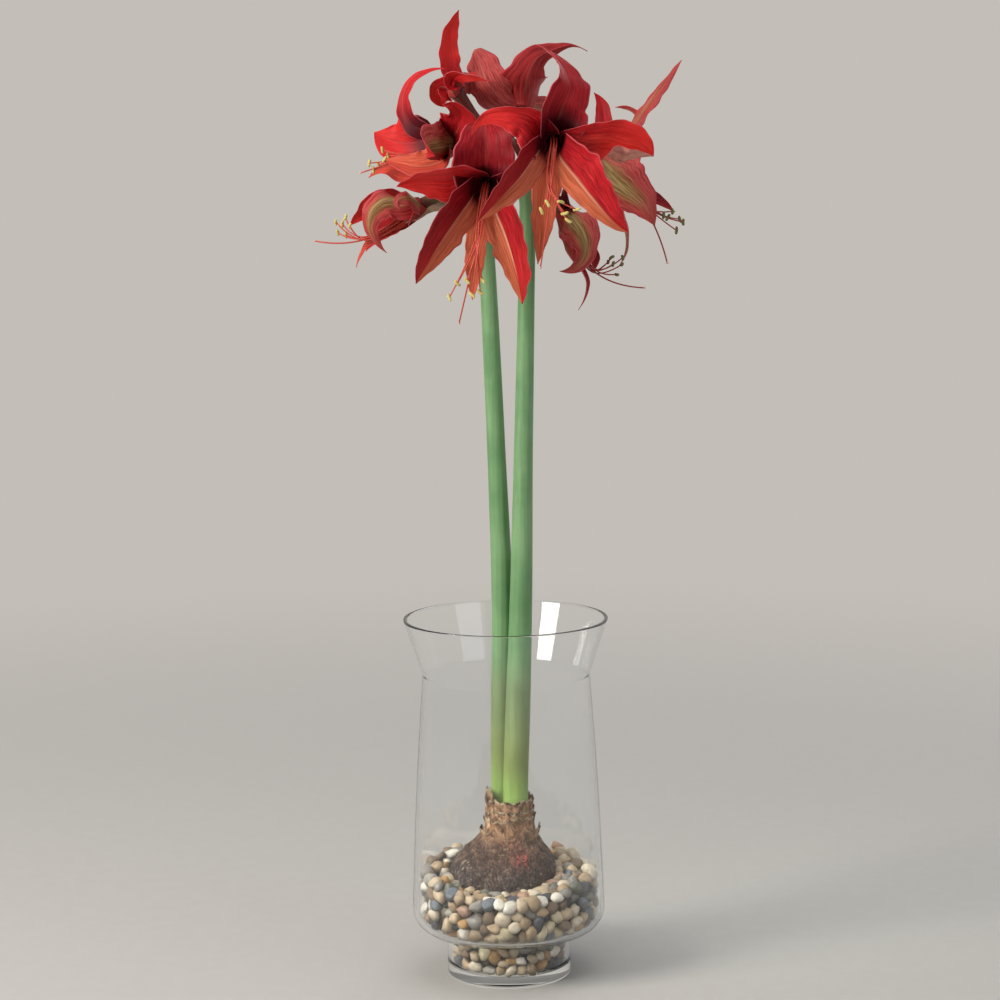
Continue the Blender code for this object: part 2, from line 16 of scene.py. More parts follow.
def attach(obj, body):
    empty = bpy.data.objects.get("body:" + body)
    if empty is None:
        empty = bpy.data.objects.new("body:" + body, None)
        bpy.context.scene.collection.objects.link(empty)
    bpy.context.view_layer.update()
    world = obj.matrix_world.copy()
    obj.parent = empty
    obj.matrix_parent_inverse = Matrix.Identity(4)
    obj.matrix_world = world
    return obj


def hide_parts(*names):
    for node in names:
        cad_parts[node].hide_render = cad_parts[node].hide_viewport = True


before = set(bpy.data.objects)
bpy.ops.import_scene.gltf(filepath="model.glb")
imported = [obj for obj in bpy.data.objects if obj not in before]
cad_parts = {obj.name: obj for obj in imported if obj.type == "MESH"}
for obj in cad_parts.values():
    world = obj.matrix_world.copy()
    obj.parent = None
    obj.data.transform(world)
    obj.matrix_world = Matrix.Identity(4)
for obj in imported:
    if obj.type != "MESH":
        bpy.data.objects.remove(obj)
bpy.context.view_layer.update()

MM = 0.001

# camera and room
CAMERA_PLACE = (-3.6, -2328.0, 748.0)
CAMERA_DIP = 7.93        # degrees that the camera looks down
CAMERA_ROLL = -0.0115    # radians
CAMERA_LENS = 97.2       # on a 36 mm wide sensor
PALE_AIR = "#C3BEB8"
FLOOR_REACH = 9.0        # metres, as are the next two
FLOOR_DROP = 0.0004      # keeps the glass foot off the floor by less than a millimetre
FLOOR_FADE = (0.3, 2.2)  # from where to where the floor fades into the air

# vase
VASE_HEIGHT = 320.0
RIM_RADIUS = 90.0
WAIST_RADIUS = 73.5
WAIST_HEIGHT = 270.0
BODY_RADIUS = 85.2
BODY_BASE = 60.0
BODY_CORNER = 19.5       # radius of the bend from the shelf to the side
SIDE_BOW = 1.2           # how far the body's side bulges half way up
SHELF_HEIGHT = 41.0
FOOT_RADIUS = 54.8
FOOT_FLOOR = 9.5         # thickness of the glass under the stones
WALL = 4.0
WAIST_WALL = 2.6
RIM_WALL = 3.3
POLE_RADIUS = 4.0        # where the fans over the middle of the foot begin

# pebbles and bulb
BED_TOP = 92.0
BED_SLOPE = 0.09         # the pebbles lie higher at the back by this much
BED_HEAP = 8.0           # and are heaped at the two sides
PEBBLES = 1100
PEBBLE_SIZES = (3.7, 7.4)
PEBBLE_GAP = 0.4         # between a stone and the glass
PEBBLE_START = 78.0      # radius of the disc over which they are strewn at first
PEBBLE_TOUCH = 0.95      # how near two stones come, as a share of their radii together
PACKING_ROUNDS = 150
PACKING_PUSH = 0.35      # share of the overlap that each round takes away
PEBBLE_BOXED = 0.78      # a power below 1 fills a ball's corners out
FLAT_SIDES = 6
PEBBLE_REGAIN = 1.12     # makes up for what the flat sides take away
BULB_AXIS = (-6.0, 0.0)
NECK_AXIS = (1.5, 0.0)
BULB_BASE = 60.0
BULB_MIDDLE = 90.0
BULB_RADIUS = 48.0
BULB_SQUASH = 1.5        # how much wider than high its round body is
NECK_RADIUS = 20.5
NECK_TOP = 150.0
SKIN_HALF = 0.25         # half the thickness of a dry skin

# flower parts
CLAW_WIDTH = 8.0
THROAT_RING = 7.1        # radius of the ring from which the claws rise
CLAW_DEPTH = 3.0         # how far that ring lies behind the middle of the throat
CLAW_LEAN = (0.85, 0.5)  # how a claw sets out: to the flower's front, and outward
CLAW_BEND = 8.0          # radius of the round that the claws make together
LAYER = 0.7              # how far the inner and outer tepals stand from the middle of the claws
NARROWEST = 0.35         # half width at the tip
RUFFLE = 0.22            # how high the margins ruffle, as a share of the half width
RUFFLED_HALF = 14        # and the largest half width that counts for it
GROOVE_DEPTH = 0.5       # along the midrib, on the inner face
RIB_SHARE = 1.4          # how much higher the rib on the outer face is than the groove is deep
MARGIN_THICKNESS = 0.35
MIDRIB_THICKNESS = 0.9
PERIANTH_TUBE = 38.0
THROAT_BACK = 2.2        # from the middle of the claws back to the rim of the tube
STEM_SUNK = 6.0          # how deep in its stalk a flower's stem begins
OVARY_RADIUS = 5.6
TUBE_RADIUS = 4.2
PEDICEL_RADIUS = 3.2
THROAT_RADIUS = 7.2
THROAT_CUP = [(0.6, 6.4), (2.5, 5.6), (6.0, 4.2), (10.0, 2.6)]   # depth and radius inside
FILAMENT, STYLE = 1.6, 1.8   # how thick they are
FILAMENT_RING = 2.6      # radius of the circle on which the filaments stand
ANTHER_HALF = 3.4        # half the length of an anther, and its thickest radius
ANTHER_RADIUS = 1.25
BRACT_HALF = 8.0         # half width of the withered sheath

# how finely the surfaces are drawn: points along them and round them, or up them
BLADE_ROWS = 56
BLADE_HALF = 13          # points from the midrib to a margin, both counted, on one face
PEDICEL_ROWS, PEDICEL_SIDES = 44, 24
STALK_ROWS, STALK_SIDES = 90, 48
BRACT_ROWS, BRACT_SIDES = 40, 24
THREAD_ROWS, THREAD_SIDES = 26, 8
ANTHER_ROWS, ANTHER_SIDES = 11, 12
BULB_ROWS, BULB_SIDES = 110, 190
SKIN_COLUMNS, SKIN_ROWS = 90, 14
PEBBLE_RINGS, PEBBLE_COLUMNS = 6, 9
VASE_SIDES, FLOOR_SIDES = 144, 96

# each stalk's points and its radius there
STALKS = {
    "left": [((-5.3, 9.3, 146.8), 9.0), ((-4, 10, 240), 9.6), ((-2.6, 10, 334), 9.4),
             ((-6, 9, 458), 8.0), ((-11, 8, 597), 7.3), ((-15, 6, 676), 7.0)],
    "right": [((7, -7.5, 146.8), 11.0), ((10, -8.5, 240), 10.9), ((13.7, -7, 336), 9.9),
              ((17, -4, 459), 8.3), ((21, 0, 597), 7.2), ((23.5, 0, 697), 7.0)],
}
BRACT_ROUTE = [(-14, 4, 671), (-26, -2, 673), (-46, -14, 677), (-58, -24, 679), (-69, -31, 674),
               (-80, -37, 666)]


class Tepal:
    """One petal-like tepal of a flower.

    azimuth  where it stands round the throat, anticlockwise as seen from the flower's front
    width    at its widest place
    twist    how far the blade has turned about its midrib by the tip, in degrees
    route    the midrib's points, from the throat, to the tip
    roll     how far the whole blade is turned about its midrib, in degrees
    widest   share of the length at the widest place; taper: above 2 a blunt end, below 2 a
             pointed one; and point: above 1 a long thin tip
    fold     how far the margins rise towards the flower's front, as a share of the half width
    curl     how far each margin bends round towards the front by the tip, in radians
    halves   share of the half width on each side
    wash     orange-brown on each half of the inner face, painted light shining through the blade
    deep     how far the blade is darkened to maroon, and bright: how far its tip is scarlet; each
         is partly the tepal's own colour, and partly painted shade where the blade lies in
         shadow and painted light where it faces the lamps
    reach    share of the length darkened by the throat, partly its own colour and partly
         painted shade that falls inside the flower
    pale     strength of the pale line down the midrib
    olive    strength of the olive band on the outer face, and blush: how far that face pales
    Pairs give the half that lies anticlockwise first, then the one that lies clockwise.
    """

    usual = {"roll": 0, "widest": 0.45, "taper": 2.3, "point": 1, "fold": 0.28, "curl": (0, 0),
             "halves": (1, 1), "wash": (0, 0), "deep": 0.3, "reach": 0.32, "bright": 0.3,
             "pale": 0.2, "olive": 0.3, "blush": 0}

    def __init__(self, azimuth, width, twist, route, **shape):
        self.azimuth, self.width, self.twist, self.route = azimuth, width, twist, route
        self.__dict__.update(self.usual, **shape)


class Flower:
    """One flower: its stalk, the centre of its throat, the way it faces, its tepals and stamens.

    The stamens are (via, ends, style): a point that all pass, the anthers and the style's end.
    tinge is how far the flower's own stem is flushed maroon.
    """

    def __init__(self, stalk, throat, faces, tepals, stamens, anthers="cream", tinge=0.0):
        self.stalk, self.tepals, self.stamens = stalk, tepals, stamens
        self.anthers, self.tinge = anthers, tinge
        self.throat = np.array(throat, float)
        self.axis = np.array(faces, float) / np.linalg.norm(faces)
        up = np.array((0.0, -1.0, 0.0)) if abs(self.axis[2]) > 0.9 else np.array((0.0, 0.0, 1.0))
        right = np.cross(up, self.axis)
        self.right = right / np.linalg.norm(right)
        self.up = np.cross(self.axis, self.right)


FLOWERS = {
    "front_right": Flower("right", (44, -74, 735), (0.1, -0.96, -0.22), [
        Tepal(84, 48, -20, [(8, -14, 27), (14, -8, 43), (8, 6, 60), (-4, 14, 72), (-14, 18, 78)],
              widest=0.25, taper=1.5, deep=0.35, bright=0.1, pale=0.08),
        Tepal(142, 40, 35, [(-18, -18, 18), (-38, -22, 23), (-58, -16, 19), (-68, -8, 3)],
              fold=0.2, widest=0.2, taper=1.2, halves=(1.5, 0.5), deep=0.05, bright=0.8,
              pale=0.05),
        Tepal(18, 44, 0, [(13, -14, 3), (31, -14, 4), (51, -9, 4), (70, -4, -2), (83, 3, -15)],
              fold=0.08, widest=0.8, taper=6, curl=(0, 2.9), halves=(0.65, 2.1), wash=(0, 0.1),
              deep=0.0, bright=0.9, pale=0.1, blush=0.7),
        Tepal(207, 32, 0, [(-16, -17, -15), (-31, -26, -34), (-48, -28, -51), (-63, -24, -66)],
              fold=0.4, taper=3.0, halves=(0.85, 1.35), wash=(0.85, 0), deep=0.5, pale=0.5),
        Tepal(316, 40, 0, [(5, -13, -15), (16, -20, -30), (31, -26, -49), (46, -26, -66), (61,
              -20, -77)], fold=0.4, taper=3.0, halves=(1.55, 0.65), wash=(0, 1), deep=0.1,
              bright=0.0, pale=0.7),
        Tepal(261, 25, 0, [(-3, -6, -21), (-8, -6, -50), (-11, -4, -79), (-14, -2, -103)],
              taper=3, wash=(0.8, 0.8), deep=0.1),
    ], ((-3, -26, -41),
        [(-11, -30, -58), (-6, -32, -52), (5, -32, -51), (18, -30, -57), (8, -34, -60),
         (11, -28, -66)], (-12, -22, -104))),
    "front_left": Flower("left", (-12, -44, 698), (-0.12, -0.93, -0.34), [
        Tepal(88, 54, 0, [(0, -13, 16), (0, -15, 33), (0, -6, 47), (0, 12, 52)], widest=0.28,
              halves=(1.1, 1), deep=0.55, bright=0.0, pale=0.04),
        Tepal(148, 46, 20, [(-14, -12, 5), (-34, -18, 4), (-55, -18, 4), (-75, -12, -1)],
              taper=3, deep=0.05, bright=0.9, pale=0.05),
        Tepal(205, 38, 0, [(-14, -17, -14), (-31, -26, -37), (-46, -24, -59), (-60, -14, -82)],
              fold=0.35, taper=3.0, halves=(0.8, 1.4), wash=(0.85, 0), deep=0.55, pale=0.5),
        Tepal(316, 42, 0, [(6, -14, -18), (16, -24, -45), (24, -23, -73), (29, -16, -100)],
              fold=0.35, taper=3.0, halves=(1.5, 0.75), wash=(0, 0.95), pale=0.9),
        Tepal(260, 20, 0, [(-4, -4, -24), (-9, -5, -50), (-11, -4, -71), (-13, -2, -97)],
              taper=4, wash=(0.8, 0.9), deep=0.1),
        Tepal(25, 24, 0, [(15, -10, 3), (24, -4, 8), (31, 8, 10), (34, 20, 4)], deep=0.4),
    ], ((-7, -30, -41),
        [(-25, -32, -81), (-32, -30, -93), (-17, -36, -79), (-4, -32, -79), (-13, -34, -91),
         (-6, -28, -89)], (-24, -26, -114))),
    "left": Flower("left", (-41, -8, 730), (-0.93, -0.25, -0.12), [
        Tepal(102, 24, 0, [(-15, -2, 13), (-33, 3, 18), (-40, 9, 37), (-34, 10, 54), (-20, 8,
              63), (-4, 7, 65)], widest=0.3, taper=1.3, roll=-60, deep=0.1, reach=0.6,
              bright=0.35, pale=0.1),
        Tepal(160, 44, -40, [(-19, 20, 6), (-37, 30, 3), (-53, 38, 4), (-68, 44, 12)],
              widest=0.5, taper=5, deep=0.05, reach=0.66, bright=0.6, pale=0.1),
        Tepal(220, 30, 0, [(-18, 15, -14), (-42, 24, -23), (-58, 29, -19), (-73, 34, -27)],
              wash=(0.3, 0.3), deep=0.1),
        Tepal(350, 36, 0, [(-3, -14, -1), (-9, -25, -2), (-16, -34, -2), (-20, -42, -4), (-13,
              -49, -8)], widest=0.15, taper=4, halves=(1.3, 0.6), deep=0.2, olive=0.9),
        Tepal(284, 40, 0, [(-14, -10, -15), (-29, -10, -17), (-43, -4, -15), (-57, 6, -11)],
              widest=0.3, roll=50, wash=(0.35, 0.6), deep=0.1, pale=0.4),
        Tepal(46, 44, -50, [(6, -20, 15), (9, -29, 26), (3, -34, 33), (-7, -34, 34)]),
    ], ((-32, 6, -8),
        [(-60, 12, -3), (-58, 8, -11), (-71, 10, -14), (-68, 12, -20), (-64, 18, -16),
         (-55, 18, -8)], (-78, 12, -22))),
    "left_low": Flower("left", (-70, -24, 678), (-0.78, -0.38, -0.5), [
        Tepal(74, 44, 0, [(-16, -14, 7), (-30, -22, 5), (-39, -24, -5), (-40, -20, -19), (-27,
              -14, -37)], widest=0.3, taper=1.2, roll=35, deep=0.5, olive=0.8),
        Tepal(132, 32, 0, [(-14, 8, 11), (-29, 13, 9), (-44, 18, 0), (-60, 24, -15)], deep=0.0,
              bright=0.9),
        Tepal(248, 16, 0, [(-12, 1, -15), (-29, 0, -22), (-43, 2, -30), (-54, 6, -50)],
              wash=(0.4, 0.4), deep=0.1),
        Tepal(312, 18, 0, [(-1, -12, -6), (-4, -18, -8), (-6, -22, -11), (-8, -25, -14)]),
        Tepal(14, 24, 0, [(-1, -23, 6), (-8, -35, 10), (-16, -41, 7), (-14, -44, 0)], olive=0.9),
        Tepal(190, 20, 0, [(-16, 17, -9), (-30, 26, -19), (-41, 34, -29), (-47, 40, -38)],
              deep=0.2),
    ], ((-43, -6, -25),
        [(-70, -2, -11), (-69, 0, -20), (-62, -6, -7), (-58, -8, -14), (-65, 6, -13),
         (-62, 6, -22)], (-88, 2, -27))),
    "back": Flower("right", (19, 30, 760), (-0.02, 0.75, 0.66), [
        Tepal(40, 38, 0, [(-15, -9, 6), (-28, -12, 21), (-34, -6, 36), (-39, 6, 49), (-40, 18,
              52)], widest=0.25, taper=3.5, pale=0.12, olive=0),
        Tepal(104, 62, 0, [(3, -10, 16), (6, -17, 30), (13, -16, 43), (27, -12, 50), (42, -8,
              54), (57, -4, 49)], widest=0.2, taper=1.2, point=1.8, deep=0.75, pale=0.12,
              olive=0),
        Tepal(178, 28, 0, [(14, 14, 0), (28, 32, -4), (38, 50, -6), (40, 66, -8)]),
        Tepal(348, 28, 0, [(-14, 12, 6), (-24, 30, 13), (-30, 50, 20), (-33, 64, 24)]),
        Tepal(236, 26, 0, [(11, 20, -12), (21, 36, -21), (27, 50, -30), (31, 56, -41)]),
        Tepal(292, 28, 0, [(-7, 18, -12), (-14, 32, -21), (-19, 42, -31), (-23, 46, -42)]),
    ], ((2, 30, 20),
        [(-8, 52, 32), (2, 54, 35), (12, 54, 32), (14, 58, 26), (2, 60, 25), (-8, 58, 27)],
        (4, 66, 34)), tinge=1.0),
    "back_left": Flower("right", (-38, 8, 777), (-0.58, -0.2, 0.79), [
        Tepal(206, 21, 0, [(-3, 6, 9), (-6, 7, 23), (-6, 10, 38), (-3, 10, 52), (4, 10, 68)],
              widest=0.3, taper=4, deep=0.0, reach=0.2, bright=1.4, pale=0.05),
        Tepal(326, 20, 0, [(-3, -12, 5), (2, -22, 12), (12, -31, 12), (21, -36, 10), (31, -40,
              6)], widest=0.4, taper=3, roll=180, deep=0.0, reach=0.2, bright=1.4),
        Tepal(90, 22, 0, [(6, 12, 6), (12, 26, 6), (17, 42, 2), (22, 54, -2)], olive=0),
        Tepal(264, 26, 0, [(-5, 2, 2), (-11, 6, 0), (-13, 10, -7), (-10, 14, -14)], taper=3,
              roll=180, deep=0.0, reach=0.2, bright=1.2, olive=0),
        Tepal(28, 14, 0, [(5, -8, 8), (10, -14, 11), (16, -20, 11), (22, -25, 9)], olive=0),
        Tepal(146, 16, 0, [(-1, 17, 11), (-5, 28, 22), (-5, 33, 32), (-3, 36, 40)], olive=0),
    ], None, tinge=1.0),
    "right": Flower("right", (85, 4, 716), (0.74, -0.25, -0.62), [
        Tepal(170, 48, 0, [(7, -26, -13), (20, -36, -25), (34, -38, -37), (45, -36, -55)],
              halves=(1.0, 1.35), olive=0.9),
        Tepal(107, 16, 0, [(11, 0, 10), (25, -2, 26), (42, -4, 48), (70, -8, 84)], widest=0.2,
              taper=5, deep=0.5),
        Tepal(50, 22, 0, [(15, 10, 15), (28, 17, 28), (34, 23, 36), (27, 26, 43), (15, 28, 45)],
              deep=0.4),
        Tepal(298, 26, 0, [(12, 10, -17), (32, 12, -26), (50, 9, -35), (65, 4, -45)], deep=1.0),
        Tepal(353, 18, 0, [(4, 17, 16), (5, 30, 32), (4, 36, 46), (-3, 38, 58)], taper=4,
              roll=60, deep=0.5),
        Tepal(235, 13, 0, [(7, -4, -24), (19, -5, -50), (23, -3, -72), (15, 0, -92)], deep=0.0,
              olive=0, blush=0.8),
    ], ((36, 0, -37),
        [(54, -12, -47), (58, -8, -49), (71, -12, -53), (65, -12, -60), (62, -4, -44),
         (69, -2, -51)], (57, -10, -87)), anthers="olive"),
    "right_low": Flower("right", (55, -14, 671), (0.62, -0.35, -0.7), [
        Tepal(154, 46, 0, [(5, -21, -4), (13, -28, -16), (16, -30, -28), (14, -29, -37), (6, -28,
              -45), (-6, -26, -47)], widest=0.35, taper=1.2, deep=0.2, olive=0.9),
        Tepal(263, 12, 0, [(4, -3, -24), (11, -7, -42), (18, -10, -59), (10, -10, -81)],
              deep=0.6),
        Tepal(207, 20, 0, [(-4, -9, -14), (0, -13, -26), (6, -14, -38), (13, -13, -46)],
              deep=0.6),
        Tepal(319, 22, 0, [(12, 7, -17), (19, 10, -29), (25, 14, -40), (23, 20, -51)], deep=1.0),
        Tepal(12, 26, 0, [(10, 17, -2), (18, 26, -9), (24, 34, -17), (22, 40, -30)], deep=0.7),
        Tepal(100, 26, 0, [(2, -8, 10), (1, -11, 16), (0, -8, 21), (-1, 2, 24)], roll=60,
              deep=0.9),
    ], ((21, -4, -46),
        [(39, -6, -37), (48, -10, -37), (40, -14, -42), (48, -2, -43), (43, -12, -51),
         (36, 0, -41)], (66, -6, -63)), anthers="olive"),
}


# ---------------------------------------------------------------- curves

def unit(vector):
    """The vector at length one."""
    vector = np.asarray(vector, float)
    return vector / np.linalg.norm(vector, axis=-1, keepdims=True)


def ease(value, low, high):
    """0 below low, 1 above high, and a smooth step between them."""
    share = np.clip((value - low) / (high - low), 0, 1)
    return share * share * (3 - 2 * share)


def hump(value, middle, width):
    """A bell curve: 1 at the middle, and 1 / e at the width from it."""
    return np.exp(-((value - middle) / width)**2)


def round_angles(count):
    """Angles evenly round a circle."""
    return np.arange(count) * 2 * pi / count


def route_length(route):
    """The length of a route."""
    return np.linalg.norm(np.diff(route, axis=0), axis=1).sum()


def smooth_route(points, start, count):
    """Points evenly along a smooth curve that passes the given ones and leaves along start."""
    points = np.asarray(points, float)
    spans = np.linalg.norm(np.diff(points, axis=0), axis=1)
    knots = np.concatenate([[0.0], np.cumsum(spans)])
    slopes = np.zeros_like(points)
    slopes[0] = start
    slopes[1:-1] = (points[2:] - points[:-2]) / (knots[2:] - knots[:-2])[:, None]
    slopes[-1] = 2 * (points[-1] - points[-2]) / spans[-1] - slopes[-2]
    along = np.linspace(0, knots[-1], count)
    leg = np.clip(np.searchsorted(knots, along, side="right") - 1, 0, len(spans) - 1)
    span = spans[leg][:, None]
    x = ((along - knots[leg]) / spans[leg])[:, None]
    return ((2 * x**3 - 3 * x**2 + 1) * points[leg] + (x**3 - 2 * x**2 + x) * span * slopes[leg]
            + (3 * x**2 - 2 * x**3) * points[leg + 1] + (x**3 - x**2) * span * slopes[leg + 1])


def frames_along(route, normal):
    """The normal and the sideways direction at each station, carried along without twisting."""
    tangents = unit(np.gradient(route, axis=0))
    normals = np.zeros_like(route)
    for station, tangent in enumerate(tangents):
        normal = unit(normal - np.dot(normal, tangent) * tangent)
        normals[station] = normal
    return normals, np.cross(tangents, normals)


def waves(angle, counts, seed):
    """A sum of sines of the angle, one for each count, with phases fixed by the seed."""
    maker = np.random.default_rng(seed)
    phases = maker.uniform(0, 2 * pi, len(counts))
    sizes = maker.uniform(0.6, 1.0, len(counts))
    return sum(size * np.sin(count * angle + phase)
               for size, count, phase in zip(sizes, counts, phases)) / len(counts)


# ---------------------------------------------------------------- meshes

def ring_faces(rows, columns):
    """The quads between rings and the fans over both ends, whose middle points come last."""
    index = np.arange(rows * columns).reshape(rows, columns)
    after = np.roll(index, -1, axis=1)
    quads = np.stack([index[:-1], after[:-1], after[1:], index[1:]], -1).reshape(-1, 4)
    first = np.full(columns, rows * columns)
    return quads, np.vstack([np.stack([after[0], index[0], first], -1),
                             np.stack([index[-1], after[-1], first + 1], -1)])


def rings_surface(rings, paint=None, place=None):
    """A closed surface through rings (rows, columns, 3), with a fan over each end.

    paint gives values that the material reads, by the number of their channel, and place its two
    coordinates. An end's middle point takes its ring's mean. The faces are turned outward, so
    that the signed volume is positive.
    """
    rows, columns = rings.shape[:2]
    quads, fans = ring_faces(rows, columns)
    painting = np.zeros((rows, columns, 4))
    for channel, values in (paint or {}).items():
        painting[..., channel] = values
    if place is None:
        place = np.zeros((rows, columns, 2))
    corners, painting, place = (
        np.vstack([values.reshape(-1, values.shape[-1]), values[0].mean(0), values[-1].mean(0)])
        for values in (rings, painting, place))
    triangles = np.vstack([quads[:, :3], quads[:, [0, 2, 3]], fans])
    a, b, c = (corners[triangles[:, k]] - corners.mean(0) for k in range(3))
    if np.einsum("ij,ij->i", a, np.cross(b, c)).sum() < 0:
        quads, fans = quads[:, ::-1], fans[:, ::-1]
    return {"points": corners, "quads": quads, "fans": fans, "paint": painting, "place": place}


def joined(surfaces):
    """Several surfaces as one."""
    starts = np.cumsum([0] + [len(s["points"]) for s in surfaces])
    result = {key: np.vstack([s[key] for s in surfaces]) for key in ("points", "paint", "place")}
    for key in ("quads", "fans"):
        result[key] = np.vstack([s[key] + start for s, start in zip(surfaces, starts)])
    return result


def moved(surface, way):
    """The surface moved by a vector."""
    return dict(surface, points=surface["points"] + way)


def linked(name, data):
    """A new object with its data, in the scene's collection."""
    item = bpy.data.objects.new(name, data)
    bpy.context.scene.collection.objects.link(item)
    return item


def add_piece(name, surface, look, nodes):
    """Put a surface, in millimetres, into the scene as one piece that rides on the root."""
    mesh = bpy.data.meshes.new(name)
    faces = surface["quads"].tolist() + surface["fans"].tolist()
    mesh.from_pydata((surface["points"] * MM).tolist(), [], faces)
    paint = mesh.attributes.new("paint", "FLOAT_COLOR", "POINT")
    paint.data.foreach_set("color", surface["paint"].ravel())
    corners = np.zeros(len(mesh.loops), int)
    mesh.loops.foreach_get("vertex_index", corners)
    place = mesh.uv_layers.new(name="place")
    place.uv.foreach_set("vector", surface["place"][corners].ravel())
    mesh.shade_smooth()
    mesh.materials.append(look)
    piece = linked(name, mesh)
    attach(piece, "root")
    if nodes:
        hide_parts(*nodes)


def tube_rings(route, radii, sides, lobes=0.0):
    """Rings of a round profile carried along a route; lobes swells it into three ribs."""
    normals, sideways = frames_along(route, (0.31, -0.87, 0.38))
    angles = round_angles(sides)
    lobes = np.broadcast_to(lobes, len(route))
    swell = 1 + lobes[:, None] * np.cos(3 * angles)[None, :]
    across = (np.cos(angles)[None, :, None] * normals[:, None]
              + np.sin(angles)[None, :, None] * sideways[:, None])
    return route[:, None] + across * (np.asarray(radii)[:, None] * swell)[..., None]


def turned_rings(radii, heights, angles, axis=(0.0, 0.0)):
    """Rings round an upright axis, from radii and heights (rows, columns or 1)."""
    parts = (axis[0] + radii * np.cos(angles), axis[1] + radii * np.sin(angles), heights)
    return np.stack(np.broadcast_arrays(*parts), -1)


def rounded(outline, radii):
    """An outline with its corners rounded by short parabolas that start a radius from each."""
    points = [np.asarray(outline[0], float)]
    for before, corner, after, radius in zip(outline, outline[1:], outline[2:], radii[1:]):
        before, corner, after = (np.asarray(p, float) for p in (before, corner, after))
        if radius == 0:
            points.append(corner)
            continue
        into, out = before - corner, after - corner
        enter = corner + into * min(radius / np.linalg.norm(into), 0.5)
        leave = corner + out * min(radius / np.linalg.norm(out), 0.5)
        points += [(1 - t)**2 * enter + 2 * t * (1 - t) * corner + t * t * leave
                   for t in np.linspace(0, 1, 5)]
    points.append(np.asarray(outline[-1], float))
    return np.array(points)


def held(outline, reach=0.8):
    """An outline with points added near both ends of each long leg, so that shading stays flat."""
    points = [outline[0]]
    for before, after in zip(outline, outline[1:]):
        length = np.linalg.norm(after - before)
        if length > 4 * reach:
            shares = np.array([reach / length, 0.25, 0.5, 0.75, 1 - reach / length])
            points += list(before + shares[:, None] * (after - before))
        points.append(after)
    return np.array(points)


# ---------------------------------------------------------------- materials

def colour(code):
    """An sRGB hex colour as linear red, green, blue and 1."""
    parts = [int(code[i:i + 2], 16) / 255 for i in (1, 3, 5)]
    linear = [p / 12.92 if p <= 0.04045 else ((p + 0.055) / 1.055)**2.4 for p in parts]
    return (*linear, 1.0)


def fill(node, inputs):
    """Set a node's inputs, or link them where a value is a socket; a text is a hex colour."""
    for key, value in inputs.items():
        if isinstance(value, bpy.types.NodeSocket):
            node.id_data.links.new(value, node.inputs[key])
        else:
            node.inputs[key].default_value = colour(value) if isinstance(value, str) else value


# the settings, the inputs in order and the output of the nodes that have unusual ones: a mix of
# colours, a smooth step from low to high and from start to end, and places on the object
UNUSUAL = {"Mix": ({"data_type": "RGBA"}, (0, 6, 7), 2),
           "MapRange": ({"interpolation_type": "SMOOTHSTEP"}, range(5), 0),
           "TexCoord": ({}, (), "Object")}


def add_node(tree, kind, *values, output=None, **others):
    """Add a shader node and return one of its outputs, the first if none is named.

    A kind in capitals is an operation of arithmetic. The values go to the inputs in their order.
    In others, a name with a capital is an input and any other name is a setting.
    """
    settings, order, usual = UNUSUAL.get(kind, ({}, range(9), 0))
    if kind.isupper():
        kind, settings = "Math", {"operation": kind}
    node = tree.nodes.new("ShaderNode" + kind)
    inputs = dict(zip(order, values))
    for key, value in {**settings, **others}.items():
        if key[0].isupper():
            inputs[key] = value
        else:
            setattr(node, key, value)
    fill(node, inputs)
    return node.outputs[usual if output is None else output]


def new_look(name):
    """A material with an empty Principled shader: itself, add_node for its tree and the shader."""
    look = bpy.data.materials.new(name)
    look.use_nodes = True
    return look, partial(add_node, look.node_tree), look.node_tree.nodes["Principled BSDF"]


def finish(shader, base, rough, normal, specular=0.5):
    """Fill the main inputs of the Principled shader."""
    fill(shader, {"Base Color": base, "Roughness": rough, "Normal": normal,
                  "Specular IOR Level": specular})


def layered(add, base, *layers):
    """The base with colours laid over it: each a pattern, its strength and its colour."""
    for pattern, strength, over in layers:
        share = add("MULTIPLY", pattern, strength) if strength < 1 else pattern
        base = add("Mix", share, base, over)
    return base


def painted(add):
    """The four painted values of a piece, and the first three as one colour."""
    stone = add("Attribute", attribute_name="paint")
    parts = add("SeparateColor", stone).node.outputs
    return (*parts[:3], stone.node.outputs["Alpha"], stone)


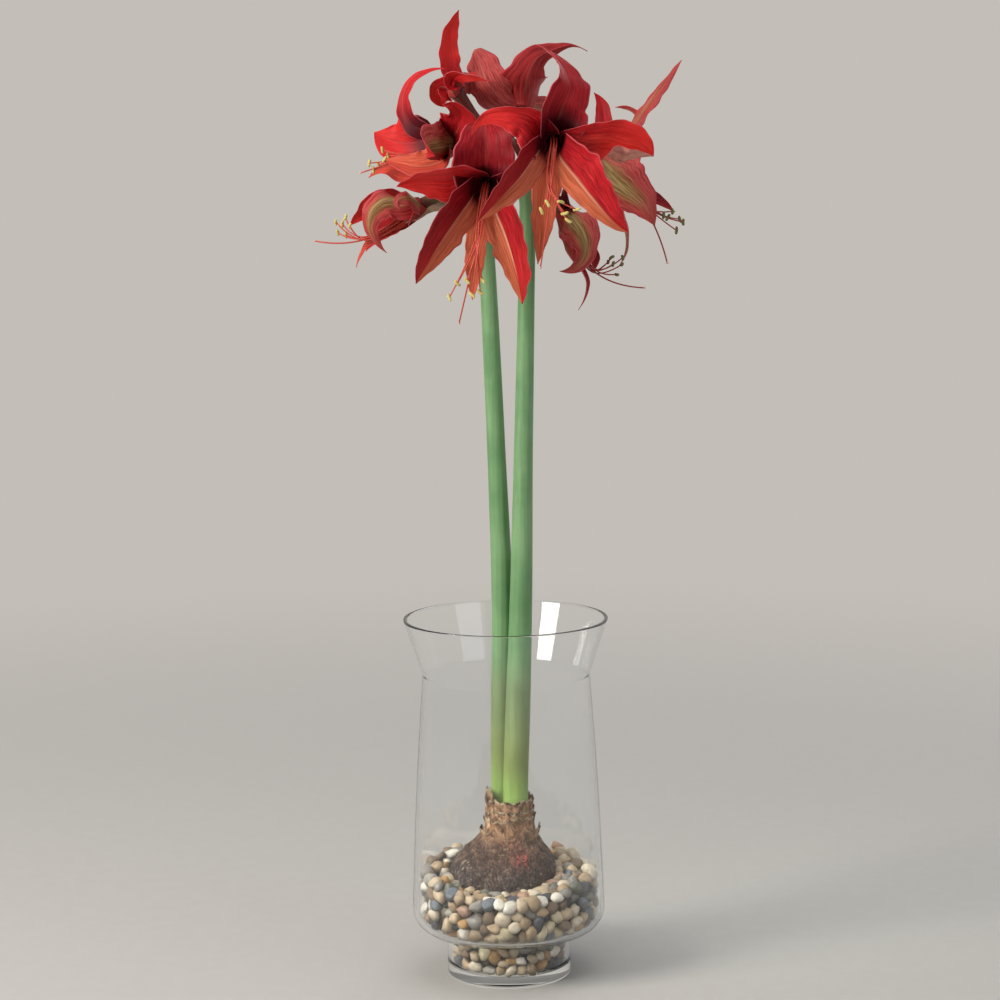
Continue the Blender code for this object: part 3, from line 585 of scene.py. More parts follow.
def tepal_look():
    """Amaryllis tepal: velvety crimson inside, olive and pink outside, with fine long veins."""
    look, add, shader = new_look("velvet_amaryllis_tepal")
    dark, wash, pale, under, _ = painted(add)
    place = add("UVMap", uv_map="place")
    side = add("ABSOLUTE", add("SeparateXYZ", place))
    # veins run from claw to tip, about 1.3 mm apart at the widest place of the blade, with hairs
    # about 0.5 mm apart between them, over blotches about 10 mm wide and 15 mm long
    veins = add("TexNoise", add("Mapping", place, Scale=(13, 3.2, 1)), Scale=1, Detail=3,
                Roughness=0.55)
    hairs = add("TexNoise", add("Mapping", place, Scale=(42, 9, 1)), Scale=1, Detail=2)
    blotch = add("TexNoise", add("Mapping", place, Scale=(2, 5, 1)), Scale=1, Detail=2)
    vein = add("MapRange", veins, 0.38, 0.62)
    hair = add("MapRange", hairs, 0.4, 0.6)
    # inner face: a painted sheen, a satin highlight drawn in pale streaks between the veins
    # bright: a scarlet tip, partly the tepal's own colour and partly painted light
    bright = add("MAXIMUM", add("MULTIPLY", pale, -1), 0)
    line = add("MAXIMUM", pale, 0)
    veined = add("MULTIPLY", vein, add("MapRange", bright, 0, 0.9, 0.65, 0.3))
    painted_sheen = add("MULTIPLY", add("MapRange", veins, 0.42, 0.3), add("MapRange", blotch, 0.45, 0.65))
    red = add("Mix", add("MapRange", blotch, 0.35, 0.65), "#BC081C", "#DA1628")
    red = layered(add, red, (bright, 1, "#F6342E"), (veined, 1, "#680010"),
                  (hair, 0.36, "#E8443E"), (painted_sheen, 0.4, "#DC6268"))
    # orange: painted light, the glow of light shining through the thin blade
    orange = layered(add, add("Mix", vein, "#E88560", "#C4623C"), (hair, 0.3, "#DD4A34"))
    # the dark maroon is partly the blade's own colour and partly painted shade
    inner = layered(add, add("Mix", wash, red, orange), (dark, 1, "#400512"),
                    # pink margins: partly their own colour and partly a painted highlight along
                    # the rim
                    (add("MapRange", side, 0.93, 0.99), 0.75, "#DC6068"), (line, 1, "#E8B08E"))
    # outer face: crimson where it is dark, an olive band, and a chalky line down the midrib
    band = add("MULTIPLY", add("MapRange", side, 0.6, 0.1), wash)
    chalk = add("MULTIPLY", line, add("MapRange", vein, 0, 1, 1, 0.6))
    outer = layered(add, add("Mix", vein, "#C2504C", "#94222A"), (hair, 0.4, "#DC8474"),
                    (dark, 1, add("Mix", vein, "#B8222A", "#7C1016")),
                    (band, 1, add("Mix", vein, "#A2985E", "#7A6236")),
                    (add("MapRange", side, 0.8, 1), 0.6, "#C2404C"), (chalk, 1, "#E0A692"))
    finish(shader, add("Mix", under, inner, outer), add("MapRange", hairs, 0.3, 0.7, 0.42, 0.55),
           add("Bump", Height=veins, Strength=0.35, Distance=0.0006), 0.14)
    return look


def stalk_look():
    """Amaryllis stalk: smooth green skin under a grey bloom, yellow-green by the bulb."""
    look, add, shader = new_look("bloomed_green_stalk")
    young, flush, dry, throat, _ = painted(add)
    place = add("TexCoord")
    # fibres under the skin, about 2 mm apart and several centimetres long, and clouds of bloom
    # about 45 mm across
    fibres = add("TexNoise", add("Mapping", place, Scale=(420, 420, 14)), Scale=1, Detail=3)
    cloud = add("TexNoise", place, Scale=22, Detail=3)
    bloom = add("MapRange", cloud, 0.3, 0.7)
    fibre = add("MapRange", fibres, 0.35, 0.65)
    green = add("Mix", bloom, "#6E9A66", "#88B07C")
    base = layered(add, green, (young, 1, add("Mix", bloom, "#7C9A44", "#94AE58")),
                   (fibre, 0.3, "#4F7A48"), (flush, 1, add("Mix", fibre, "#5E1E1E", "#6E3826")),
                   (dry, 1, add("Mix", fibre, "#AEB183", "#C08A7C")), (throat, 1, "#3C0A14"))
    finish(shader, base, add("MapRange", cloud, 0.3, 0.7, 0.42, 0.55),
           add("Bump", Height=fibres, Strength=0.2, Distance=0.0004), 0.4)
    return look


def stamen_look():
    """Stamens: satin orange-red filaments, and anthers powdered with pollen."""
    look, add, shader = new_look("satin_stamen_and_pollen")
    pollen, deep, tip, _, _ = painted(add)
    # pollen grains drawn at 0.5 mm, coarser than life so that they show
    grain = add("TexNoise", add("TexCoord"), Scale=1800, Detail=2)
    grains = add("MapRange", grain, 0.35, 0.65)
    dust = add("Mix", deep, add("Mix", grains, "#E6DC8E", "#C9B25A"),
               add("Mix", grains, "#8C8650", "#4E4428"))
    base = layered(add, add("Mix", deep, "#D8503A", "#8E1420"), (pollen, 1, dust),
                   (tip, 1, "#EBC3B4"))
    finish(shader, base, add("MapRange", pollen, 0, 1, 0.35, 0.85),
           add("Bump", Height=grain, Strength=0.3, Distance=0.0003))
    return look


def bulb_look():
    """Bulb skin: dry brown scales, mottled, partly painted shade below, red where it has split."""
    look, add, shader = new_look("dry_scaly_bulb_skin")
    low, red, edge, paper, _ = painted(add)
    place = add("TexCoord")
    # stains about 22 mm across, spots of 7 mm, flecks of 4 mm and grit of 1.5 mm
    spot = add("TexNoise", place, Scale=150, Detail=5, Roughness=0.65)
    patch = add("TexNoise", place, Scale=45, Detail=4)
    grit = add("TexNoise", place, Scale=700, Detail=3)
    fleck = add("TexNoise", place, Scale=260, Detail=4, Roughness=0.7)
    # fibres of the skin run down it, about 3 mm apart and 1 cm long, broken by scabs
    strand = add("TexNoise", add("Mapping", place, Scale=(300, 300, 100)), Scale=1, Detail=4,
                 Distortion=1.5)
    patches, spots, flecks, strands = (
        add("MapRange", noise, start, end) for noise, start, end in
        ((patch, 0.38, 0.62), (spot, 0.42, 0.6), (fleck, 0.54, 0.62), (strand, 0.45, 0.58)))
    brown = layered(add, add("Mix", patches, "#62442F", "#86624A"), (spots, 0.8, "#38231A"),
                    (flecks, 0.6, "#B08F74"), (strands, 0.6, "#2E1C14"))
    # painted shade over the lower bulb, mottled, mixed with its own darker skin
    shade = layered(add, add("Mix", patches, "#35282A", "#5C4A48"), (spots, 0.7, "#7A6660"),
                    (flecks, 0.7, "#A59890"), (strands, 0.55, "#140D0D"))
    husk = layered(add, add("Mix", patches, "#A87850", "#D0A27C"), (spots, 0.7, "#5A3519"))
    base = layered(add, brown, (low, 1, shade), (paper, 1, husk),
                   (edge, 1, add("Mix", spots, "#D8C3A0", "#33200F")),
                   (red, 1, add("Mix", strands, "#B4544A", "#4E1614")))
    height = add("SUBTRACT", add("ADD", add("MULTIPLY", spot, 0.7), grit), strands)
    finish(shader, base, add("MapRange", spot, 0.3, 0.7, 0.6, 0.85),
           add("Bump", Height=height, Strength=1, Distance=0.002), 0.35)
    return look


def pebble_look():
    """River pebbles: tumbled stone, each of one colour with its own faint bands and specks."""
    look, add, shader = new_look("tumbled_river_stone")
    _, _, _, banded, stone = painted(add)
    place = add("TexCoord")
    # specks about 2.4 mm across and bands about 9 mm apart
    speck = add("TexNoise", place, Scale=420, Detail=4, Roughness=0.6)
    band = add("TexNoise", place, Scale=110, Detail=3, Distortion=1.2)
    specks = add("MapRange", speck, 0.4, 0.65)
    bands = add("MULTIPLY", add("MapRange", band, 0.5, 0.62), banded)
    base = layered(add, stone, (specks, 0.4, add("HueSaturation", Color=stone, Value=0.62)),
                   (bands, 0.7, add("HueSaturation", Color=stone, Value=1.2, Saturation=0.85)))
    finish(shader, base, add("MapRange", band, 0.3, 0.7, 0.42, 0.62),
           add("Bump", Height=speck, Strength=0.25, Distance=0.0006))
    return look


def glass_look():
    """Soda-lime glass: clear, fire-polished, faintly grey-green, letting the lamps through."""
    look, add, shader = new_look("clear_soda_lime_glass")
    fill(shader, {"Base Color": "#FDFEFE", "Roughness": 0.0, "IOR": 1.5,
                  "Transmission Weight": 1.0})
    both = add("MixShader", add("LightPath", output="Is Shadow Ray"), shader.outputs[0],
               add("BsdfTransparent", "#F1F5F4"))
    fill(look.node_tree.nodes["Material Output"], {"Surface": both})
    return look


# ---------------------------------------------------------------- the plant

def tepal_surface(flower, tepal, seed, inner):
    """A tepal as a closed blade, a function of s along its midrib and t across it.

    The midrib is a smooth curve through the route. The half width opens by a smooth step to its
    widest place and closes to the tip as 1 minus s to the power of the taper, raised to the
    point, and a few sines make each margin uneven. Across, the blade is an arc that bends by the
    curl, and its margins also rise by the fold times the half width, and round the throat at the
    claw. A ruffle of a few sines grows with the cube of t. The blade thins from its midrib to its
    margins, with a groove along the inner face and a rib along the outer. The three inner tepals
    stand a little in front of the outer three.
    """
    angle = radians(tepal.azimuth)
    out = cos(angle) * flower.right + sin(angle) * flower.up
    layer = LAYER if inner else -LAYER
    base = (THROAT_RING - layer) * out - (CLAW_DEPTH - layer) * flower.axis
    start = unit(CLAW_LEAN[0] * flower.axis + CLAW_LEAN[1] * out)
    midrib = smooth_route([base, *tepal.route], start, BLADE_ROWS)
    length = route_length(midrib)
    normals, sideways = frames_along(midrib, -out)
    s = np.linspace(0, 1, BLADE_ROWS)[:, None]
    turn = np.radians(tepal.twist * s + tepal.roll * ease(s, 0.05, 0.35))
    across = sideways * np.cos(turn) + normals * np.sin(turn)
    rise = normals * np.cos(turn) - sideways * np.sin(turn)
    half = 0.5 * (CLAW_WIDTH + (tepal.width - CLAW_WIDTH) * ease(s, -0.12, tepal.widest))
    half = half * (1 - s**tepal.taper)**tepal.point
    half = np.maximum(half * (1 + 0.04 * waves(9 * s, (1, 2, 3), seed)), NARROWEST)
    one_face = np.linspace(-1, 1, 2 * BLADE_HALF - 1)
    t = np.concatenate([one_face, one_face[::-1]])[None]
    face = np.repeat([[1.0, -1.0]], len(one_face), axis=1)

    def by_side(sides):
        """The first value on one side of the midrib and the second on the other."""
        return np.where(t < 0, *sides)

    def along_margins(spacing, counts, shift):
        """Sines along each margin, unlike on the two sides."""
        return by_side([waves(s * length / spacing, counts, seed + shift + side)
                        for side in (0, 100)])

    uneven = 0.1 * ease(s, 0.15, 0.35) * ease(s, 1.0, 0.85)
    reach = half * (by_side(tepal.halves) * np.abs(t))
    reach = reach * (1 + uneven * along_margins(5, (1, 1.6, 2.7), 300))
    bend = by_side(tepal.curl) * ease(s, 0.2, 0.6) * ease(np.abs(t), 0.4, 0.72)
    flat, lift = arc(bend, reach)
    lift = lift + tepal.fold * reach * np.abs(t)**0.35
    lift = lift + ease(s, 0.3, 0) * half**2 / (2 * CLAW_BEND) * t * t
    ruffle = along_margins(7, (1, 1.7, 2.6), 100) * np.abs(t)**3
    ruffle = ruffle * np.minimum(half, RUFFLED_HALF) * RUFFLE
    lift = lift + ruffle * ease(s, 0.15, 0.4)
    groove = GROOVE_DEPTH * hump(t, 0, 0.09) * ease(s, 1.0, 0.7)
    thick = MIDRIB_THICKNESS - MARGIN_THICKNESS
    thick = MARGIN_THICKNESS + thick * (1 - t * t) * ease(s, 1.02, 0.75)
    lean = np.sign(t) * bend
    flat = np.sign(t) * flat - face * thick / 2 * np.sin(lean)
    lift = lift - np.where(face > 0, groove, RIB_SHARE * groove)
    lift = lift + face * thick / 2 * np.cos(lean)
    rings = midrib[:, None] + across[:, None] * flat[..., None] + rise[:, None] * lift[..., None]
    place = np.stack(np.broadcast_arrays(t, s + 3.7 * seed), -1)
    return moved(rings_surface(rings, tepal_paint(tepal, s, t, face > 0), place), flower.throat)


def arc(bend, reach):
    """How far out and how far forward each place across a bent blade lies from the midrib.

    Each half is walked from the midrib outwards in its own equal steps, every step at the mean
    of the bends at its two ends.
    """
    flat, lift = np.zeros_like(reach), np.zeros_like(reach)
    for middle in (BLADE_HALF - 1, 3 * BLADE_HALF - 2):
        for side in (-1, 1):
            columns = middle + side * np.arange(BLADE_HALF)
            mean = 0.5 * (bend[:, columns[1:]] + bend[:, columns[:-1]])
            step = reach[:, columns[-1:]] / (BLADE_HALF - 1)
            flat[:, columns[1:]] = np.cumsum(np.cos(mean) * step, axis=1)
            lift[:, columns[1:]] = np.cumsum(np.sin(mean) * step, axis=1)
    return flat, lift


def tepal_paint(tepal, s, t, inside):
    """A tepal's painted values, as functions of s and t.

    They are the darkness of the throat and blade, partly their own colour and partly painted
    shade; the orange wash on the inner face, which is painted light shining through the blade, and
    the olive band on the outer; the pale line down the midrib; and 1 on the outer face. On the
    inner face the third is negative where the tip brightens, partly its own scarlet and partly
    painted light.
    """
    wash_side = ease(t, -0.06, 0.06)
    wash = tepal.wash[0] * (1 - wash_side) + tepal.wash[1] * wash_side
    wash = wash * ease(s, 0.1, 0.3)
    # the throat's darkness: partly its own colour and partly painted shade inside the flower
    throat = 0.85 * ease(s, tepal.reach, tepal.reach - 0.28)
    # dark: partly the blade's own maroon and partly painted shade on blades that lie in shadow
    dark = np.clip(throat + tepal.deep * ease(s, 1.6, 0.3), 0, 0.96) * (1 - 0.75 * wash)
    band = tepal.olive * ease(s, 0.02, 0.15) * ease(s, 0.95, 0.5)
    pale = tepal.pale * hump(t, 0, 0.045) * (ease(s, 0.08, 0.2) * ease(s, 0.95, 0.6))
    # bright: a scarlet tip, partly its own colour and partly painted light on blades facing the
    # lamps
    bright = tepal.bright * ease(s, 0.15, 0.75) * (1 - pale)
    return {0: np.where(inside, dark, np.maximum(0.5 * ease(s, 0.3, 0.05), tepal.deep)),
            1: np.where(inside, wash, band),
            2: np.where(inside, pale - bright, np.maximum(pale, tepal.blush)),
            3: np.where(inside, 0.0, 1.0)}


def pedicel_surface(flower):
    """A flower's own stem, its three-lobed ovary and its tube: a round profile on a curve."""
    top = np.array(STALKS[flower.stalk][-1][0], float)
    throat = flower.throat - THROAT_BACK * flower.axis
    ovary = flower.throat - PERIANTH_TUBE * flower.axis
    low = top - np.array((0, 0, STEM_SUNK))
    reach = np.linalg.norm(ovary - top)
    rise = top + np.array((0, 0, 0.3 * reach)) + 0.25 * (ovary - top)
    neck = flower.throat - 0.4 * PERIANTH_TUBE * flower.axis
    route = smooth_route([low, rise, ovary, neck, throat], (0, 0, 1), PEDICEL_ROWS)
    share = np.linspace(0, 1, PEDICEL_ROWS)
    at_ovary = 1 - np.linalg.norm(throat - ovary) / route_length(route)
    swell = hump(share, at_ovary, 0.1)
    flare = np.clip((share - at_ovary) / (1 - at_ovary), 0, 1)**3
    radii = PEDICEL_RADIUS + (TUBE_RADIUS - PEDICEL_RADIUS) * np.clip(share / at_ovary, 0, 1)
    radii = radii + (OVARY_RADIUS - TUBE_RADIUS) * swell + (THROAT_RADIUS - TUBE_RADIUS) * flare
    rings = tube_rings(route, radii, PEDICEL_SIDES, lobes=0.09 * swell)
    depths, cup = np.array(THROAT_CUP).T[..., None, None]
    inside = (rings[-1] - throat) * (cup / radii[-1]) + throat - depths * flower.axis
    rings = np.vstack([rings, inside])
    spare = np.zeros(len(cup))
    flush = np.maximum(ease(share, at_ovary + 0.1, 1.0), flower.tinge)
    in_throat = np.arange(len(rings)) >= PEDICEL_ROWS - 1
    return rings_surface(rings, {0: np.concatenate([0.25 * swell, spare])[:, None],
                                 1: np.concatenate([flush, spare])[:, None],
                                 3: in_throat[:, None]})


def bract_surface():
    """The withered sheath: a thin crumpled strip whose width swells and then tapers."""
    route = smooth_route(BRACT_ROUTE, unit((-1, -0.6, 0.2)), BRACT_ROWS)
    normals, sideways = frames_along(route, (0.3, -0.5, 0.8))
    s = np.linspace(0, 1, len(route))[:, None]
    half = BRACT_HALF * (0.35 + 0.65 * np.sin(pi * s**1.7)) * (1 - 0.6 * s**6)
    angles = round_angles(BRACT_SIDES)
    t = np.sin(angles)
    crumple = (waves(6 * s, (1, 2, 3.3), 5) * t
               + 0.6 * waves(9 * s, (1, 2.1), 6) * np.cos(2 * angles))
    lift = 0.5 * np.cos(angles) + 1.6 * crumple + 0.25 * half * t**2
    rings = (route[:, None] + normals[:, None] * lift[..., None]
             + sideways[:, None] * (half * t)[..., None])
    return rings_surface(rings, {2: 1.0})


def stalk_surface(side):
    """A hollow flower stalk: a round profile, faintly ribbed, on a smooth curve."""
    points = [point for point, radius in STALKS[side]]
    route = smooth_route(points, (0, 0, 1), STALK_ROWS)
    height = route[:, 2]
    radii = np.interp(height, [p[2] for p in points], [r for p, r in STALKS[side]])
    share = np.linspace(0, 1, len(route))
    radii = radii + 1.2 * hump(share, 0.985, 0.012) - 3.0 * ease(share, 0.99, 1.0)
    rings = tube_rings(route, radii, STALK_SIDES)
    ribs = 0.12 * waves(round_angles(STALK_SIDES), (9, 13, 17), 3 if side == "left" else 4)
    centre = route[:, None]
    rings = centre + (rings - centre) * (1 + ribs[None, :, None] / radii[:, None, None])
    flush = 0.3 * ease(share, 0.97, 1.0) + 0.36 * ease(height, 300, 250) * ease(height, 160, 200)
    return rings_surface(rings, {0: ease(height, 270, 165)[:, None], 1: flush[:, None]})


def thread_surface(via, end, axis, thickness, deep, start=(0.0, 0.0, 0.0)):
    """A filament or style: a round profile on a curve that leaves the throat along its axis."""
    route = smooth_route([start, via, end], axis, THREAD_ROWS)
    radii = thickness / 2 * (1 - 0.3 * np.linspace(0, 1, THREAD_ROWS))
    rings = tube_rings(route, radii, THREAD_SIDES)
    return rings_surface(rings, {1: deep}), route


def anther_surface(tip, along, deep, seed):
    """An anther: a bean-shaped sac, hung across its filament's tip."""
    maker = np.random.default_rng(seed)
    along = unit(0.5 * along + (0, 0, 1.3) + 0.45 * maker.normal(size=3))
    bend = unit(np.cross(along, maker.normal(size=3)))
    s = np.linspace(-1, 1, ANTHER_ROWS)
    route = tip + ANTHER_HALF * s[:, None] * along - 0.8 * (s[:, None]**2 - 0.5) * bend
    radii = ANTHER_RADIUS * np.sqrt(np.clip(1 - (0.97 * s)**4, 0, 1)) + 0.05
    return rings_surface(tube_rings(route, radii, ANTHER_SIDES), {0: 1.0, 1: deep})


def stamens_surface(flower, seed):
    """Six filaments with their anthers, and one style with a three-cleft stigma."""
    via, ends, style_end = (np.array(value, float) for value in flower.stamens)
    ripe = flower.anthers == "olive"
    deep = 0.75 if ripe else 0.1
    bearings = [np.arctan2((end - via) @ flower.up, (end - via) @ flower.right) for end in ends]
    places = np.argsort(np.argsort(bearings))
    surfaces = []
    for number, (end, place) in enumerate(zip(ends, places)):
        angle = -pi + (place + 0.5) * pi / 3
        offset = FILAMENT_RING * (cos(angle) * flower.right + sin(angle) * flower.up)
        thread, route = thread_surface(via + 0.8 * offset, end, flower.axis, FILAMENT, deep,
                                       offset)
        across = np.cross(route[-1] - route[-2], flower.axis)
        surfaces += [thread, anther_surface(end, across, float(ripe), seed + number)]
    style, route = thread_surface(via, style_end, flower.axis, STYLE, deep + 0.15)
    surfaces.append(style)
    normals, sideways = frames_along(route, flower.up)
    forward = unit(route[-1] - route[-2])
    for turn in (0, 2 * pi / 3, 4 * pi / 3):
        lean = cos(turn) * normals[-1] + sin(turn) * sideways[-1]
        lobe = style_end + np.linspace(0, 1, 6)[:, None] * (1.6 * forward + 1.3 * lean)
        rings = tube_rings(lobe, (0.5, 0.55, 0.55, 0.5, 0.4, 0.2), 6)
        surfaces.append(rings_surface(rings, {2: 0.8}))
    return moved(joined(surfaces), flower.throat)


# ---------------------------------------------------------------- bulb

def bulb_middle(height):
    """The bulb leans: its middle moves from the body's axis to the neck's as it rises."""
    share = np.clip((height - BULB_BASE - 28) / 45, 0, 1)
    return [body + (neck - body) * share for body, neck in zip(BULB_AXIS, NECK_AXIS)]


def bulb_radius(height):
    """The bulb's own radius at a height, read from a smooth outline."""
    heights = np.array([0, 5, 14, 28, 40, 50, 59, 68, 75, 90]) + BULB_BASE
    radii = (14, 30, 42, BULB_RADIUS, 46.0, 39, 30, 23.5, 21, NECK_RADIUS)
    return np.interp(height, heights, radii)


def bulb_surface():
    """The bulb: its outline turned about a leaning axis, with lumps, long wrinkles and folds.

    The radius is multiplied by 1 plus a sum of sines of the angle that changes with height.
    Wrinkles finer than those lumps are added to it, half as deep at the foot as from the shoulder
    up. It is painted darker below, partly its own darker skin and partly painted shade, with two
    red scars and a red tinge on the front and papery skin on the neck.
    """
    share = np.linspace(0, 1, BULB_ROWS)[:, None]
    heights = BULB_BASE + (NECK_TOP - BULB_BASE) * (share**1.25)
    soft = np.mean([bulb_radius(heights + shift) for shift in (-4, -2, 0, 2, 4)], axis=0)
    angles = round_angles(BULB_SIDES)
    drift = (heights - BULB_BASE) / 40
    lumps = (waves(angles + drift, (2, 3, 5), 21) * 0.028
             + waves(angles - 1.4 * drift, (4, 7, 9), 22) * 0.022)
    creases = waves(angles + 0.25 * np.sin(3 * drift), (17, 23, 31, 41), 23)
    steps = waves(3 * drift + 0.5 * np.sin(2 * angles), (2, 5, 9), 24)
    depth = 0.5 + 0.5 * ease(heights, BULB_BASE + 20, BULB_BASE + 45)
    radius = soft * (1 + lumps) + depth * (0.9 * creases + 0.8 * steps)
    rings = turned_rings(radius, heights, angles, bulb_middle(heights))
    # darker below: partly its own darker skin and partly painted shade
    low = ease(heights, 116, 96) * (0.75 + 0.9 * waves(angles, (2, 3, 5), 25))
    scars = (hump(angles, radians(284), 0.07) + hump(angles, radians(297), 0.09)
             + 0.2 * hump(angles, radians(290), 0.4)) * hump(heights, 111, 7)
    tinge = hump(heights, 122, 5) * hump(angles, radians(280), 0.5)
    red = np.maximum(0.95 * scars, 0.35 * tinge)
    streak = np.clip(0.65 + 1.3 * waves(angles, (11, 17, 29), 26), 0, 1)
    return rings_surface(rings, {0: np.clip(low, 0, 1), 1: np.clip(red * streak, 0, 1),
                                 3: ease(heights, 118, 135)})


def collar_surface(radius, foot, top, jag, lean, first, span, seed):
    """One torn layer of dry skin round the neck: a thin wall on part of a circle.

    Its top edge is ragged, a sum of sines of the angle with sharp teeth, and it leans and curls
    outward towards that edge. The wall is closed all round.
    """
    share = np.linspace(0, 1, SKIN_COLUMNS)[:, None]
    angles = radians(first) + radians(span) * share
    teeth = waves(angles, (5, 11, 19), seed) + 0.9 * np.abs(waves(angles, (37, 53), seed + 1))
    tuck = np.minimum(ease(share, 0, 0.1), ease(share, 1, 0.9))
    crest = (top + jag * teeth - foot) * (0.35 + 0.65 * tuck)
    up = np.linspace(0, 1, SKIN_ROWS)
    up = np.concatenate([up, up[::-1]])
    wall = np.repeat([-SKIN_HALF, SKIN_HALF], SKIN_ROWS)
    ripple = waves(angles, (7, 13, 23), seed + 2) * up
    middle = radius + lean * up**2 + 1.1 * ripple + 0.8 * up**6
    rings = turned_rings(middle + wall, foot + crest * up, angles, NECK_AXIS)
    return rings_surface(rings, {2: ease(up, 0.84, 0.96) * 0.9, 3: 1.0})


# radius, foot, top, raggedness, lean, first angle and span in degrees, seed
COLLARS = [
    (19.8, 138, 158, 2.8, 0.8, 150, 290, 31),
    (19.4, 136, 160, 3.6, 0.4, 20, 200, 41),
    (20.4, 132, 149, 2.4, 1.0, 200, 250, 51),
    (21.0, 126, 141, 2.2, 1.0, 100, 180, 61),
    (21.2, 128, 143, 2.8, 1.2, 250, 160, 71),
    (24.5, 117, 130, 2.4, 1.4, 150, 90, 81),
    (24.5, 118, 132, 2.2, 2.0, 300, 80, 91),
    (19.6, 140, 166, 3.2, -0.8, 165, 60, 95),
]


# ---------------------------------------------------------------- pebbles

def body_radius(height):
    """Outer radius of the vase's body, which narrows in a slight curve up to the waist."""
    share = (height - BODY_BASE) / (WAIST_HEIGHT - BODY_BASE)
    return BODY_RADIUS + (WAIST_RADIUS - BODY_RADIUS) * share + SIDE_BOW * np.sin(pi * share)


def bed_top(x, y):
    """Height of the pebbles' top: a slope that rises to the back, heaped at the sides."""
    return BED_TOP + BED_SLOPE * y + BED_HEAP * ease(np.abs(x), 25, 75)


def inside_glass(points, radii):
    """Points moved by the least that keeps them the given radii inside the glass."""
    x, y, z = points.T
    z = np.maximum(z, FOOT_FLOOR + 0.3 + radii)
    out = np.maximum(np.hypot(x, y), 0.001)
    shelf = SHELF_HEIGHT + WALL + radii
    inner_foot = FOOT_RADIUS - WALL - PEBBLE_GAP - radii
    rises = (z < shelf) & (out > inner_foot) & (shelf - z < out - inner_foot)
    z = np.where(rises, shelf, z)
    limit = np.where(z < shelf - 0.01, inner_foot, body_radius(np.maximum(z, BODY_BASE)) - WALL
                     - PEBBLE_GAP - radii)
    corner = BODY_RADIUS - BODY_CORNER
    room = BODY_CORNER - WALL - PEBBLE_GAP - radii
    drop = np.clip(BODY_BASE - z, 0, room)
    round_limit = corner + np.sqrt(np.maximum(room**2 - drop**2, 0))
    limit = np.where((z >= shelf - 0.01) & (z < BODY_BASE), round_limit, limit)
    scale = np.minimum(out, limit) / out
    return np.stack([x * scale, y * scale, z], -1)


def kept_inside(centres, radii):
    """Pebble centres moved inside the glass, below the bed's top and clear of the bulb."""
    x, y, z = centres.T
    z = np.minimum(z, bed_top(x, y) - 0.75 * radii)
    bulb = np.stack([x - BULB_AXIS[0], y - BULB_AXIS[1], (z - BULB_MIDDLE) * BULB_SQUASH], -1)
    reach = np.linalg.norm(bulb, axis=1)
    push = np.maximum(BULB_RADIUS + 0.85 * radii - reach, 0) / np.maximum(reach, 1)
    pushed = [x + bulb[:, 0] * push, y + bulb[:, 1] * push, z + bulb[:, 2] * push / BULB_SQUASH]
    return inside_glass(np.stack(pushed, -1), radii)


def packed_pebbles():
    """Centres and radii of the pebbles: balls pushed apart, again and again, inside the bed."""
    maker = np.random.default_rng(12)
    radii = PEBBLE_SIZES[0] + (PEBBLE_SIZES[1] - PEBBLE_SIZES[0]) * maker.beta(1.5, 2.6, PEBBLES)
    angle = maker.uniform(0, 2 * pi, PEBBLES)
    out = PEBBLE_START * np.sqrt(maker.uniform(0, 1, PEBBLES))
    z = maker.uniform(FOOT_FLOOR, BED_TOP + 6, PEBBLES)
    centres = kept_inside(np.stack([out * np.cos(angle), out * np.sin(angle), z], -1), radii)
    touch = PEBBLE_TOUCH * (radii[:, None] + radii[None])
    for _ in range(PACKING_ROUNDS):
        apart = centres[:, None] - centres[None]
        distance = np.sqrt((apart**2).sum(-1)) + np.eye(PEBBLES) * 1000
        press = np.maximum(touch - distance, 0) / distance
        push = (apart * press[..., None]).sum(1)
        centres = kept_inside(centres + PACKING_PUSH * push, radii)
    return centres, radii


# stone colours and how often each occurs
STONES = [("#E9E0D2", 7), ("#D3C3AC", 13), ("#BFA98B", 16), ("#A68D6E", 14), ("#AE8450", 6),
          ("#8F8880", 11), ("#7D6751", 12), ("#646A72", 7), ("#6F6F60", 6), ("#B58F78", 4),
          ("#44444A", 6), ("#DCCBA8", 5)]


